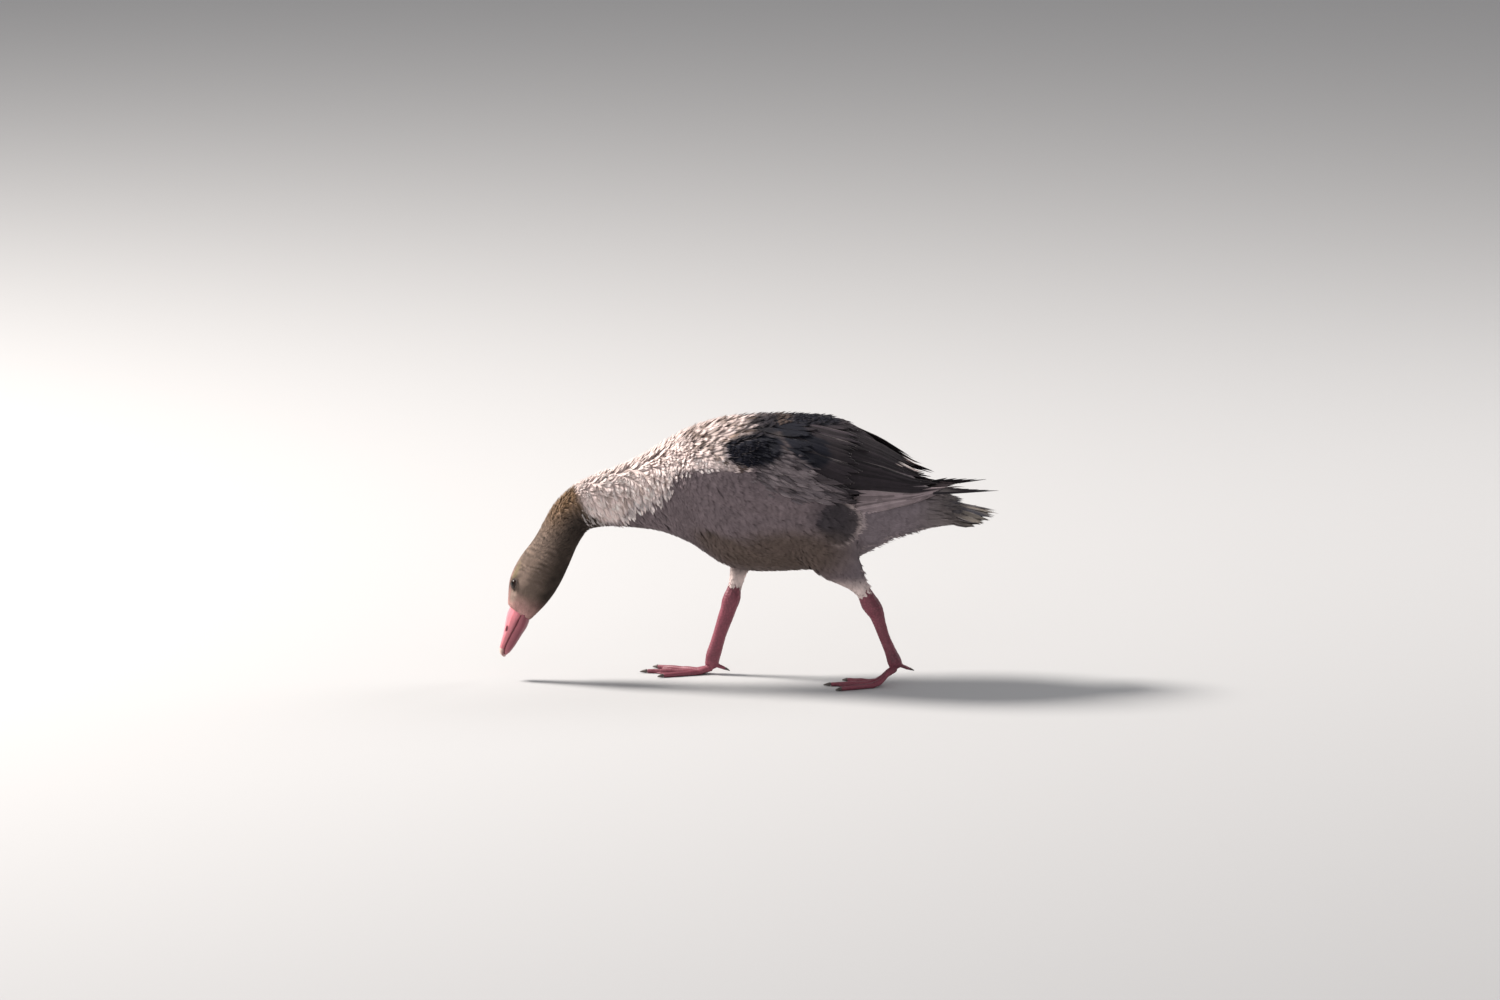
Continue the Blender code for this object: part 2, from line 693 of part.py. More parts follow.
def make_hind_toe(name, hand, joint, foot):
    """The small hind toe, set on the inner side of the joint and clear of the floor."""
    direction = toe_direction(hand, 160, 0)
    start = joint + Vector((2, 0, 1))
    drop = min(joint.z * 0.45, 7)
    rings = []
    for share in steps(0, 1, 4):
        centre = start + direction * (share * (HIND_TOE_LENGTH + 3)) - Vector((0, 0, drop * share))
        radius = HIND_TOE_RADIUS * (1 - 0.38 * share)
        rings.append(toe_ring(centre, direction, radius, radius))
    combine(foot, helper(loft(f"hind_toe_{name}", rings, "leg_pink")), "UNION")
    root = start + direction * (HIND_TOE_LENGTH + 3) - Vector((0, 0, drop))
    make_claw(f"claw_hind_{name}", root, direction, CLAW_LENGTHS["hind"], 1.4, lift=-1.5)


def make_legs():
    thighs = []
    for name, hand in (("left", -1), ("right", 1)):
        leg = LEGS[name]
        knee = knee_direction(leg, hand)
        thigh = leg_rings(leg["thigh"], hand, last_down=knee)
        thighs.append(loft(f"thigh_{name}", thigh, "plumage_pale"))
        loft(f"shank_{name}", leg_rings(leg["shank"], hand, first_down=knee), "leg_pink")
        make_foot(name, hand, leg)
    return thighs


# ---------------------------------------------------------------- the whole bird


def clear_scene():
    for old in list(bpy.data.objects):
        bpy.data.objects.remove(old)


def stand_at_origin():
    """Moves every mesh so that the bird's box stands with the middle of its base at the origin."""
    bpy.context.view_layer.update()
    graph = bpy.context.evaluated_depsgraph_get()
    corners = [
        Vector(corner)
        for solid in bpy.context.scene.objects
        if not solid.hide_render
        for corner in solid.evaluated_get(graph).bound_box
    ]
    low, high = (Vector(pick(c[k] for c in corners) for k in range(3)) for pick in (min, max))
    shift = -Vector(((low.x + high.x) / 2, (low.y + high.y) / 2, low.z))
    for mesh in {solid.data for solid in bpy.context.scene.objects}:
        for vertex in mesh.vertices:
            vertex.co += shift


def main():
    clear_scene()
    make_head()
    make_bill()
    loft("neck_upper", body_rings(HEAD_END, NECK_PARTING, 9), "plumage_brown")
    loft("neck_lower", body_rings(NECK_PARTING, TRUNK_START, 13), "plumage_pale")
    trunk = loft("trunk", body_rings(TRUNK_START, "tail_root", RING_SPACING), "plumage_pale")
    make_tail()
    for let_in in (*make_wings(), *make_legs()):
        combine(trunk, socket_cutter(let_in), "DIFFERENCE")
    stand_at_origin()


main()
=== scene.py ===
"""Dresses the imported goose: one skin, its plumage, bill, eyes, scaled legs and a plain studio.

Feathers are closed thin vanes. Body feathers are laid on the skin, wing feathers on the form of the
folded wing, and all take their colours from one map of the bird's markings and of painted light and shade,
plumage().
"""

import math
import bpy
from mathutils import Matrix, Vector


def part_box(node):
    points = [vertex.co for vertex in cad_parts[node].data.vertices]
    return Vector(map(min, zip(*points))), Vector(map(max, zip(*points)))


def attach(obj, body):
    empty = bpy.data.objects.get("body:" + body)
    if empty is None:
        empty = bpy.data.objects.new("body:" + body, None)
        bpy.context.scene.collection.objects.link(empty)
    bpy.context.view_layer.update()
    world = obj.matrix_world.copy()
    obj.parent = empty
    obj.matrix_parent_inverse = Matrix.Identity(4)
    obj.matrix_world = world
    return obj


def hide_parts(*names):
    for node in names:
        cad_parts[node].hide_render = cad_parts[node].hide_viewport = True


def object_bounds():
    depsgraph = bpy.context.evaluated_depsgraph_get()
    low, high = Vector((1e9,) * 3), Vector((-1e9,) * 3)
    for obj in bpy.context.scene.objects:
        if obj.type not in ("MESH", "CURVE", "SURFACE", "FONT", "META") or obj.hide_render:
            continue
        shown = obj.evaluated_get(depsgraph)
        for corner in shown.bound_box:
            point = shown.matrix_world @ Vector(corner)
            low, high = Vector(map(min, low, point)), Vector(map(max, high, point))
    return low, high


bl_info = {
    "name": "Grazing Goose",
    "version": (1, 0, 0),
    "blender": (4, 5, 0),
    "location": "View3D > Sidebar > Goose",
    "description": "Skin, plumage, bill, eyes, legs and studio of a grazing goose",
    "category": "Object",
}

from collections import namedtuple

import bmesh
import bpy
import numpy as np
from bpy.props import FloatProperty, FloatVectorProperty, IntProperty, PointerProperty
from mathutils import Vector, noise
from mathutils.bvhtree import BVHTree
from mathutils.kdtree import KDTree

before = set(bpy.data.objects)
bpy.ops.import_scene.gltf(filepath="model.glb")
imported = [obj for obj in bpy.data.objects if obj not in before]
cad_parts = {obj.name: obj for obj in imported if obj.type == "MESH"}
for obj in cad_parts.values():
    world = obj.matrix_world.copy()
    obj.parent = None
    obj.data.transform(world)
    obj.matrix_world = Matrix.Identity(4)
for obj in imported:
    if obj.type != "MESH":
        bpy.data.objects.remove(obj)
CAD_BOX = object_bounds()
MM = 0.001
BODY = "root"
SIDES = {"left": -1, "right": 1}

# ---- settings


def colour_setting(name, description, default):
    return FloatVectorProperty(
        name=name, description=description, subtype="COLOR", size=3, min=0, max=1, default=default
    )


def length_setting(name, description, millimetres):
    return FloatProperty(
        name=name, description=description, default=millimetres * MM, min=0, subtype="DISTANCE", unit="LENGTH"
    )


class GooseColours(bpy.types.PropertyGroup):
    """Colours of the plumage and the bare parts"""

    head_brown: colour_setting("Head", "Grey brown of the head and upper neck", (0.190, 0.140, 0.113))
    lore_pink: colour_setting("Lores", "Thin feathers between bill and eye", (0.72, 0.40, 0.37))
    brow: colour_setting("Brow", "Olive feathers over the eye", (0.31, 0.245, 0.15))
    brow_dark: colour_setting("Eye surround", "Darker short feathers next to the lids", (0.105, 0.075, 0.058))
    cheek: colour_setting("Cheek", "Pale grey tan under the eye", (0.55, 0.405, 0.340))
    nape_rust: colour_setting("Nape", "Rusty tint on the bend of the neck", (0.27, 0.160, 0.082))
    # Cream is brighter, and belly and vent darker, than the feathers' own colours: partly painted light on
    # the top and painted shade on the side and underside.
    cream: colour_setting("Cream", "Pale feathers of neck and breast", (0.95, 0.775, 0.735))
    belly: colour_setting("Belly", "Dusty belly and flank feathers", (0.188, 0.148, 0.158))
    dirt: colour_setting("Dirt", "Olive brown stains under the belly", (0.110, 0.080, 0.066))
    vent: colour_setting("Vent", "Pale feathers behind the legs", (0.215, 0.178, 0.195))
    mantle_brown: colour_setting("Mantle", "Brown feathers mixed into the mantle", (0.120, 0.083, 0.066))
    slate: colour_setting("Slate", "Dark patches on shoulder and back", (0.0085, 0.0090, 0.0165))
    covert_grey: colour_setting("Coverts", "Grey streaky wing coverts", (0.092, 0.077, 0.086))
    covert_pale: colour_setting("Pale coverts", "Palest wing coverts", (0.255, 0.212, 0.222))
    tertial: colour_setting("Tertials", "Dark brown long inner wing feathers", (0.027, 0.021, 0.025))
    secondary: colour_setting("Secondaries", "Pale band along the wing's lower edge", (0.26, 0.207, 0.218))
    tail_olive: colour_setting("Tail", "Olive grey of the tail feathers", (0.165, 0.142, 0.125))
    tail_grey: colour_setting("Tail streaks", "Dark streaks of the tail", (0.050, 0.048, 0.060))
    primary: colour_setting("Primaries", "Wing tips", (0.024, 0.020, 0.024))
    feather_edge: colour_setting("Feather edges", "Fringe of wing and tail feathers", (0.50, 0.44, 0.44))
    bill: colour_setting("Bill", "Salmon pink of the bill", (0.82, 0.255, 0.300))
    # bill_shade is the dark red of the mouth line, and also the colour of painted shade on the lower bill,
    # along the upper bill's lower edge, in the nostrils and in the creases.
    bill_shade: colour_setting("Mouth line", "Dark red along the mouth", (0.19, 0.030, 0.052))
    nail: colour_setting("Nail", "Pale horn at the bill's tip", (0.74, 0.52, 0.45))
    leg: colour_setting("Legs", "Rose pink of shanks and feet", (0.30, 0.068, 0.100))
    # leg_shade is the darker skin of the joints, and also the colour of painted shade in the creases between
    # scales, at the top of the shank and down its rear.
    leg_shade: colour_setting("Leg creases", "Darker skin at joints and creases", (0.115, 0.023, 0.038))
    claw: colour_setting("Claws", "Dark horn", (0.085, 0.066, 0.058))
    iris: colour_setting("Iris", "Dark brown", (0.026, 0.010, 0.005))
    eye_ring: colour_setting("Eye ring", "Bare skin of the eyelids", (0.085, 0.058, 0.050))


class GooseSizes(bpy.types.PropertyGroup):
    """Depth of the plumage, and sizes of skin details"""

    head_coat: length_setting("Head coat", "Depth of the coat on the head", 0.55)
    neck_coat: length_setting("Neck coat", "Depth of the coat on the neck", 2.8)
    body_coat: length_setting("Body coat", "Depth of the coat on the body", 4.6)
    thigh_coat: length_setting("Thigh coat", "Depth of the coat on the thighs", 2.8)
    skin_voxel: length_setting("Skin grain", "Cell of the body skin's mesh", 3.0)
    leg_voxel: length_setting("Leg grain", "Cell of the leg skin's mesh", 0.85)
    bill_voxel: length_setting("Bill grain", "Cell of the bill's mesh", 0.55)
    eye_opening: length_setting("Eye opening", "Half length of the opening between the lids", 5.5)
    lid: length_setting("Eyelid", "Thickness of the eyelids", 0.55)
    scute: length_setting("Scale relief", "Height of the scales on legs and feet", 0.32)
    seed: IntProperty(name="Seed", description="Start of every random draw", default=7, min=0)


def colours():
    return bpy.context.scene.goose_colours


def sizes():
    return bpy.context.scene.goose_sizes


def rgb(name):
    return np.array(getattr(colours(), name)[:])


def random_for(piece):
    """A generator that gives each piece the same draws in every run."""
    return np.random.default_rng([sizes().seed, *piece.encode()])


# ---- arrays and meshes


def read(collection, name, width, kind=np.float32):
    """One property of every element, as rows so wide."""
    values = np.empty(len(collection) * width, kind)
    collection.foreach_get(name, values)
    return values.reshape(-1, width).astype(float if kind is np.float32 else kind)


def read_points(mesh):
    """A mesh's points and the normals there."""
    return read(mesh.vertices, "co", 3), read(mesh.vertices, "normal", 3)


def lengths(vectors):
    return np.linalg.norm(vectors, axis=-1)


def unit(vectors):
    return vectors / np.maximum(lengths(vectors)[..., None], 1e-12)


def ease(values, low, high):
    """0 below low, 1 above high and a smooth step between. low may be the larger."""
    share = np.clip((np.asarray(values, float) - low) / (high - low), 0, 1)
    return share * share * (3 - 2 * share)


def bell(values, centre, width):
    """1 at the centre, falling smoothly to almost nothing at twice the width."""
    return np.exp(-(((values - centre) / width) ** 2))


def varied(random, size, spread):
    """Factors round 1 that make feathers differ by the given spread."""
    return 1 + spread * random.standard_normal(size)


def mix(a, b, share):
    """Blends two colours, or arrays of colours, by an array of shares."""
    share = np.asarray(share, float)[..., None]
    return np.asarray(a) * (1 - share) + np.asarray(b) * share


def grain(points, scale, seed=0):
    """Smooth noise from -1 to 1 with blobs about scale metres across."""
    shift = Vector((seed * 3.1, seed * 1.7, seed * 2.3))
    return np.array([noise.noise(Vector(p) / scale + shift) for p in points])


def new_piece(name, mesh):
    piece = bpy.data.objects.new(name, mesh)
    bpy.context.scene.collection.objects.link(piece)
    return piece


def piece_from(name, bm):
    """A new object from a bmesh, which is used up."""
    mesh = bpy.data.meshes.new(name)
    bm.to_mesh(mesh)
    bm.free()
    return new_piece(name, mesh)


def dress(piece, material, slot, *replaced):
    """Gives a finished piece its material and its body, and hides the nodes it stands for. The slot is not
    used.
    """
    piece.data.materials.clear()
    piece.data.materials.append(material)
    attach(piece, BODY)
    if replaced:
        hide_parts(*replaced)


def applied(piece):
    """The piece's mesh with its modifiers applied, in a new object that takes the old one's place."""
    graph = bpy.context.evaluated_depsgraph_get()
    mesh = bpy.data.meshes.new_from_object(piece.evaluated_get(graph))
    name = piece.name
    bpy.data.objects.remove(piece)
    mesh.name = name
    return new_piece(name, mesh)


def merged_nodes(*nodes):
    """A bmesh with copies of some CAD nodes, their loose triangles merged into closed bodies."""
    bm = bmesh.new()
    for node in nodes:
        bm.from_mesh(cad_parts[node].data)
    bmesh.ops.remove_doubles(bm, verts=bm.verts, dist=1e-6)
    return bm


def add_cut(bm, nodes, place, way):
    """Adds copies of nodes to a bmesh, cut off square to a way at a place."""
    part = merged_nodes(*nodes)
    geometry = part.verts[:] + part.edges[:] + part.faces[:]
    bmesh.ops.bisect_plane(part, geom=geometry, plane_co=place, plane_no=way, clear_outer=True)
    bmesh.ops.holes_fill(part, edges=[e for e in part.edges if e.is_boundary])
    mesh = bpy.data.meshes.new("cut")
    part.to_mesh(mesh)
    part.free()
    bm.from_mesh(mesh)
    bpy.data.meshes.remove(mesh)


def soften_points(bm, verts, factor, times):
    """Draws points towards their neighbours, a few times over."""
    for _ in range(times):
        bmesh.ops.smooth_vert(
            bm, verts=verts, factor=factor, use_axis_x=True, use_axis_y=True, use_axis_z=True
        )


def cast(name, bm, voxel, smoothing):
    """Recasts closed bodies that touch as one even skin, and softens it."""
    piece = piece_from(name, bm)
    remesh = piece.modifiers.new("recast", "REMESH")
    remesh.mode = "VOXEL"
    remesh.voxel_size = voxel
    remesh.use_smooth_shade = True
    soften = piece.modifiers.new("soften", "SMOOTH")
    soften.factor = 0.5
    soften.iterations = smoothing
    return largest_shell(applied(piece))


def largest_shell(piece):
    """Drops what a recast may leave inside the skin, such as a pocket between two nodes."""
    bm = bmesh.new()
    bm.from_mesh(piece.data)
    bm.verts.ensure_lookup_table()
    unseen = set(bm.verts)
    shells = []
    while unseen:
        shell, edge = set(), [unseen.pop()]
        while edge:
            vertex = edge.pop()
            shell.add(vertex)
            for link in vertex.link_edges:
                other = link.other_vert(vertex)
                if other in unseen:
                    unseen.remove(other)
                    edge.append(other)
        shells.append(shell)
    shells.sort(key=len)
    bmesh.ops.delete(bm, geom=[v for shell in shells[:-1] for v in shell], context="VERTS")
    bm.to_mesh(piece.data)
    bm.free()
    return piece


def move_points(piece, points):
    piece.data.vertices.foreach_set("co", points.astype(np.float32).ravel())
    piece.data.update()


def paint(mesh, name, rgba):
    """Stores one colour for each point of a mesh."""
    layer = mesh.attributes.get(name) or mesh.attributes.new(name, "FLOAT_COLOR", "POINT")
    layer.data.foreach_set("color", np.asarray(rgba, np.float32).ravel())


def with_alpha(colour, alpha):
    return np.concatenate([colour, np.broadcast_to(alpha, colour.shape[:-1])[..., None]], axis=-1)


# ---- the bird's own directions


def node_points(node):
    points, _ = read_points(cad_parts[node].data)
    return points


def centre_between(node, other, reach=1.3 * MM):
    """The middle of the cut that parts two nodes."""
    tree = KDTree(len(node_points(other)))
    for index, point in enumerate(node_points(other)):
        tree.insert(point, index)
    tree.balance()
    near = [p for p in node_points(node) if tree.find(p)[2] < reach]
    return np.mean(near, axis=0)


def box_centre(node):
    low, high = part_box(node)
    return np.array((low + high) / 2)


def tail_end():
    low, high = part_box("tail")
    return np.array((high.x, 0, (low.z + high.z) / 2))


class Spine:
    """The line through the middle of the bird, from the bill's tip to the tail's end."""

    KNOTS = ("bill_tip", "face", "nape", "pale", "crop", "keel", "rump", "tail")

    def __init__(self):
        knots = (
            box_centre("bill_nail"),
            centre_between("head", "bill_lower", 5 * MM),
            centre_between("head", "neck_upper"),
            centre_between("neck_upper", "neck_lower"),
            centre_between("neck_lower", "trunk"),
            box_centre("trunk"),
            centre_between("trunk", "tail"),
            tail_end(),
        )
        padded = np.array([2 * knots[0] - knots[1], *knots, 2 * knots[-1] - knots[-2]])
        points, marks = [], []
        for k in range(len(knots) - 1):
            p, q, r, s = padded[k : k + 4]
            marks.append(len(points))
            for t in np.linspace(0, 1, 40, endpoint=False):
                square, cube = 2 * p - 5 * q + 4 * r - s, 3 * q - p - 3 * r + s
                points.append(0.5 * (2 * q + (r - p) * t + square * t**2 + cube * t**3))
        points.append(knots[-1])
        marks.append(len(points) - 1)
        self.points = np.array(points)
        self.points[:, 1] = 0
        gaps = lengths(np.diff(self.points, axis=0))
        self.lengths = np.concatenate([[0], np.cumsum(gaps)])
        self.tangents = unit(np.gradient(self.points, axis=0))
        self.at = {name: self.lengths[mark] for name, mark in zip(self.KNOTS, marks)}

    def place(self, points):
        """For each point: its distance along the line, the line's direction there, and its angle
        round the line, 0 at the back and a quarter turn on the left side."""
        points = np.asarray(points, float)
        nearest = np.empty(len(points), int)
        for start in range(0, len(points), 20000):
            part = points[start : start + 20000]
            away = ((part[:, None, :] - self.points[None]) ** 2).sum(-1)
            nearest[start : start + 20000] = away.argmin(1)
        tangent = self.tangents[nearest]
        arm = points - self.points[nearest]
        up = np.stack([-tangent[:, 2], np.zeros(len(points)), tangent[:, 0]], 1)
        angle = np.arctan2(-arm[:, 1], (arm * up).sum(1))
        along = self.lengths[nearest] + (arm * tangent).sum(1)
        return along, tangent, angle

    def measure(self, points):
        """Each point's distance along the line, and how far round from the back it is to either side."""
        along, _, angle = self.place(points)
        return along, np.abs(angle)


SPINE = Spine()
AT = SPINE.at
FLOOR_Z = CAD_BOX[0][2]
TRUNK_LOW, TRUNK_HIGH = (np.array(corner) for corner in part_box("trunk"))
BELLY_Z = TRUNK_LOW[2]
BACK_Z = TRUNK_HIGH[2]
MIDDLE_Z = (BELLY_Z + BACK_Z) / 2


def leg_line(side):
    """From the middle of the thigh's top to the feather line at the knee."""
    low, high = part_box(f"thigh_{side}")
    knee = centre_between(f"thigh_{side}", f"shank_{side}")
    top = np.array(((low.x + high.x) / 2, (low.y + high.y) / 2, high.z - 0.25 * (high.z - low.z)))
    return top, knee


LEG_LINES = {side: leg_line(side) for side in SIDES}
TAIL_SKIN_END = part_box("tail")[0].x + 9 * MM


def eye_place(side):
    """Centre and radius of an eyeball, the way it looks, and the ways to the nape and to the crown."""
    low, high = (np.array(corner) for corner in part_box(f"eye_{side}"))
    centre, radius = (low + high) / 2, (high[1] - low[1]) / 2
    points, normals = read_points(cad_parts["head"].data)
    away = lengths(points - centre)
    ring = (away > radius + 1 * MM) & (away < radius + 7 * MM)
    out = unit(normals[ring].mean(0))
    _, tangent, _ = SPINE.place(centre[None])
    level = unit(tangent[0] - out * (tangent[0] @ out))
    crown = np.cross(out, level)
    crown *= math.copysign(1, -crown[0])
    return centre, radius, out, level, crown


EYES = {side: eye_place(side) for side in SIDES}


def thigh_share(points):
    """How far each point belongs to a thigh, and which way its feathers lie there."""
    share = np.zeros(len(points))
    flow = np.zeros((len(points), 3))
    for top, knee in LEG_LINES.values():
        line = knee - top
        t = np.clip(((points - top) @ line) / (line @ line), 0, 1.3)
        away = lengths(points - (top + t[:, None] * line))
        here = ease(away, 44 * MM, 26 * MM) * ease(points[:, 2], BELLY_Z + 34 * MM, BELLY_Z + 4 * MM)
        stronger = here > share
        share = np.where(stronger, here, share)
        flow[stronger] = unit(line)
    return share, flow


def feather_flow(points, normals):
    """The way feathers lie at each point, along the skin."""
    along, tangent, angle = SPINE.place(points)
    neck = ease(along, AT["nape"], AT["pale"]) * ease(along, AT["crop"] + 0.10, AT["crop"])
    body = ease(along, AT["crop"], AT["crop"] + 0.08)
    side = np.abs(np.sin(angle))
    droop = neck * (0.25 + 1.15 * side) + body * 0.30 * side
    down = np.array((0, 0, -1.0))
    flow = tangent + droop[:, None] * down
    share, leg_flow = thigh_share(points)
    flow = flow * (1 - share[:, None]) + leg_flow * share[:, None]
    flow -= normals * (flow * normals).sum(1, keepdims=True)
    return unit(flow)


# ---- markings, and painted light and shade

# Patches as seen from the side. x and z say where, in metres, z from the trunk's middle height, and
# half_x and half_z how large. tilt is in degrees, rear end down, and soft the share of the edge that fades.
Patch = namedtuple("Patch", "x z half_x half_z tilt soft colour strength")
PATCHES = (
    Patch(0.007, 0.062, 0.037, 0.018, -3, 0.22, "slate", 1.0),
    Patch(0.064, 0.072, 0.040, 0.015, 36, 0.22, "slate", 1.0),
    Patch(0.083, 0.058, 0.018, 0.016, 0, 0.22, "slate", 1.0),
    Patch(0.082, 0.097, 0.044, 0.010, 4, 0.3, "slate", 1.0),
    Patch(0.014, 0.088, 0.020, 0.009, 4, 0.4, "slate", 0.85),
    Patch(0.044, 0.088, 0.010, 0.012, 30, 0.6, "mantle_brown", 0.6),
    Patch(0.1125, -0.027, 0.027, 0.0275, 14, 0.08, "cream", 0.50),
    Patch(0.098, -0.018, 0.026, 0.022, 14, 0.60, "slate", 0.35),
    Patch(0.109, -0.026, 0.027, 0.026, 14, 0.10, "slate", 0.88),
    Patch(-0.045, -0.042, 0.006, 0.005, 0, 0.6, "slate", 0.9),
    Patch(-0.030, -0.060, 0.040, 0.017, 25, 0.8, "dirt", 0.85),
    Patch(0.048, -0.064, 0.072, 0.028, 0, 0.9, "dirt", 0.90),
    Patch(0.020, -0.086, 0.070, 0.018, 0, 0.9, "dirt", 0.6),
)

# How much further forward the markings lie on the far side.
FAR_SHIFT = 0.006

# A pale fleck on the long inner feathers of each wing.
FLECK = Patch(0.197, 0.035, 0.014, 0.0026, 20, 0.3, "cream", 0.9)

# Marks on the face, placed from each eye towards the nape and towards the crown, in millimetres.
Mark = namedtuple("Mark", "nape crown half_nape half_crown colour strength")
FACE_MARKS = (
    Mark(12.0, 5.5, 15.0, 5.0, "brow", 0.80),
    Mark(-15.0, -2.0, 9.0, 6.0, "cheek", 0.80),
    Mark(-14.0, 7.0, 10.0, 4.0, "lore_pink", 0.55),
    Mark(10.0, -11.0, 16.0, 5.5, "cheek", 0.30),
    Mark(32.0, 13.0, 16.0, 7.0, "cheek", 0.30),
    Mark(4.0, 12.5, 17.0, 4.0, "lore_pink", 0.35),
    Mark(0.0, 0.0, 8.2, 6.8, "brow_dark", 0.75),
    Mark(-8.0, -1.5, 3.0, 2.2, "brow_dark", 0.70),
)


def face_mark(points, mark):
    """How strongly a face mark colours each point, on both sides of the head."""
    share = np.zeros(len(points))
    for side in SIDES:
        centre, _, out, level, crown = EYES[side]
        arm = (points - centre) / MM
        nape, up = arm @ level - mark.nape, arm @ crown - mark.crown
        away = np.sqrt((nape / mark.half_nape) ** 2 + (up / mark.half_crown) ** 2)
        share = np.maximum(share, ease(away, 1.35, 0.4) * (arm @ out > -6))
    return share * mark.strength


def cream_edge(x):
    """How far down the cream of the neck and the shoulder reaches: partly the pale feathers' own colour,
    partly painted light on the top, with painted shade in the darker colour below.
    """
    steps = (-0.185, -0.162, -0.150, -0.138, -0.118, -0.100, -0.088, -0.071, -0.030)
    heights = (-0.034, -0.036, -0.022, -0.012, -0.003, 0.006, 0.032, 0.037, 0.040)
    return MIDDLE_Z + np.interp(x, steps, heights)


def beside(points):
    """Each point's x for the markings, which lie a little further forward on the far side."""
    return points[:, 0] + np.where(points[:, 1] < 0, 0, FAR_SHIFT)


def ellipse(x, z, patch):
    """How far each place lies inside a patch, from 0 to 1."""
    turn = math.radians(patch.tilt)
    dx, dz = x - patch.x, z - MIDDLE_Z - patch.z
    across = dx * math.cos(turn) - dz * math.sin(turn)
    height = dx * math.sin(turn) + dz * math.cos(turn)
    away = np.sqrt((across / patch.half_x) ** 2 + (height / patch.half_z) ** 2)
    return ease(away, 1 + patch.soft / 2, 1 - patch.soft / 2)


# Sizes of the noise that makes the markings uneven, and of the rows of painted light and shade that ripple
# the brown neck.
BROAD, FINE = 32 * MM, 9 * MM
RIPPLE = 5.6 * MM


def plumage(points):
    """The colour of the coat at each point."""
    points = np.asarray(points, float)
    broad = grain(points, BROAD, 1)
    fine = grain(points, FINE, 2)
    along, turn = SPINE.measure(points)
    head, share = head_markings(points, along, turn, broad, fine)
    colour = mix(body_markings(points, along, broad, fine), head, share)
    return np.clip(colour * (1 + 0.07 * fine)[:, None], 0.004, 0.95)


def body_markings(points, along, broad, fine):
    """Colours of neck, body, thighs and tail, with edges made uneven by broad and fine noise."""
    x, _, z = points.T
    # Lighter towards the top: painted light on the top and painted shade down the side.
    height = ease(z, BELLY_Z + 26 * MM, MIDDLE_Z + 26 * MM + 8 * MM * broad)
    colour = rgb("belly") * (0.92 + 0.16 * height + 0.10 * broad)[:, None]
    # Cream above cream_edge and the belly's colour below it: partly the plumage's own pattern, partly painted
    # light on the top and painted shade on the side.
    cream = ease(z + 0.004 * broad + 0.003 * fine - cream_edge(x), -0.003, 0.005)
    over_back = ease(z, MIDDLE_Z + 0.064, MIDDLE_Z + 0.074)
    cream *= ease(x, 0.040, 0.000) * np.maximum(ease(x, -0.020, -0.034), over_back)
    colour = mix(colour, rgb("cream"), cream)
    vent = ease(x, 0.105 + 0.01 * broad, 0.150) * ease(z, BACK_Z - 0.02, MIDDLE_Z + 0.02)
    colour = mix(colour, rgb("vent"), vent)
    tail_part = ease(along, AT["rump"] - 0.050, AT["rump"] + 0.012)
    colour = mix(colour, mix(rgb("vent"), rgb("tail_olive"), 0.6), tail_part)

    shin = thigh_share(points)[0] * ease(z, BELLY_Z + 0.004, BELLY_Z - 0.016)
    colour = mix(colour, rgb("cream"), 0.80 * shin)

    mantle = ease(along, AT["crop"] + 0.012, AT["crop"] + 0.060) * ease(x, 0.06, -0.01)
    mantle *= ease(z + 0.012 * broad, MIDDLE_Z + 0.040, MIDDLE_Z + 0.062)
    colour = mix(colour, rgb("mantle_brown"), mantle * np.clip(0.45 + 1.5 * fine, 0, 0.9))

    back = ease(x, -0.010, 0.030) * ease(x + 0.008 * broad, 0.178, 0.150)
    fall = 0.6 * np.maximum(x - 0.06, 0)
    back *= ease(z, MIDDLE_Z + 0.066 - fall, MIDDLE_Z + 0.082 - fall)
    colour = mix(colour, rgb("tertial") * 1.2, back * 0.85)
    for patch in PATCHES:
        share = ellipse(beside(points) + 0.0035 * broad, z + 0.003 * fine, patch) * patch.strength
        colour = mix(colour, rgb(patch.colour), share)
    return colour


def head_markings(points, along, turn, broad, fine):
    """Colours of the head and the brown upper neck, and how far each point has them."""
    brown_end = AT["pale"] + 0.020 * ease(turn, 1.5, 2.7)
    brown = ease(along + 0.0045 * broad + 0.003 * fine, brown_end + 0.006, brown_end - 0.006)
    # Lighter towards the crown and darker under the throat: partly the head's own colour, partly painted
    # light on top and painted shade beneath.
    crown_side = ease(turn, 2.2, 0.9)
    head = rgb("head_brown") * (0.30 + 0.90 * crown_side + 0.16 * broad + 0.14 * fine)[:, None]
    # Light and dark bands across the brown neck: painted light and shade on its rows of feathers.
    ripple = np.sin(along / RIPPLE * 2 * math.pi + 5.0 * grain(points, 13 * MM, 3))
    ripple *= np.clip(0.55 + 1.3 * grain(points, FINE, 6), 0.05, 1.2)
    rows = ease(along, AT["face"] + 0.030, AT["face"] + 0.070) * ease(turn, 2.2, 1.4)
    head = head * (1 + 0.58 * ripple * rows)[:, None]
    rust = ease(along, AT["pale"] - 0.060, AT["pale"] - 0.010) * ease(turn, 1.9, 0.7)
    head = mix(head, rgb("nape_rust"), 0.75 * rust)
    face = ease(along, AT["face"] + 0.034, AT["face"] + 0.003)
    # The face's pale pink is stronger towards the crown, partly as painted light on its upper edge.
    head = mix(head, rgb("lore_pink"), face * (0.42 + 0.42 * crown_side))
    for mark in FACE_MARKS:
        head = mix(head, rgb(mark.colour), face_mark(points, mark))
    return head, brown


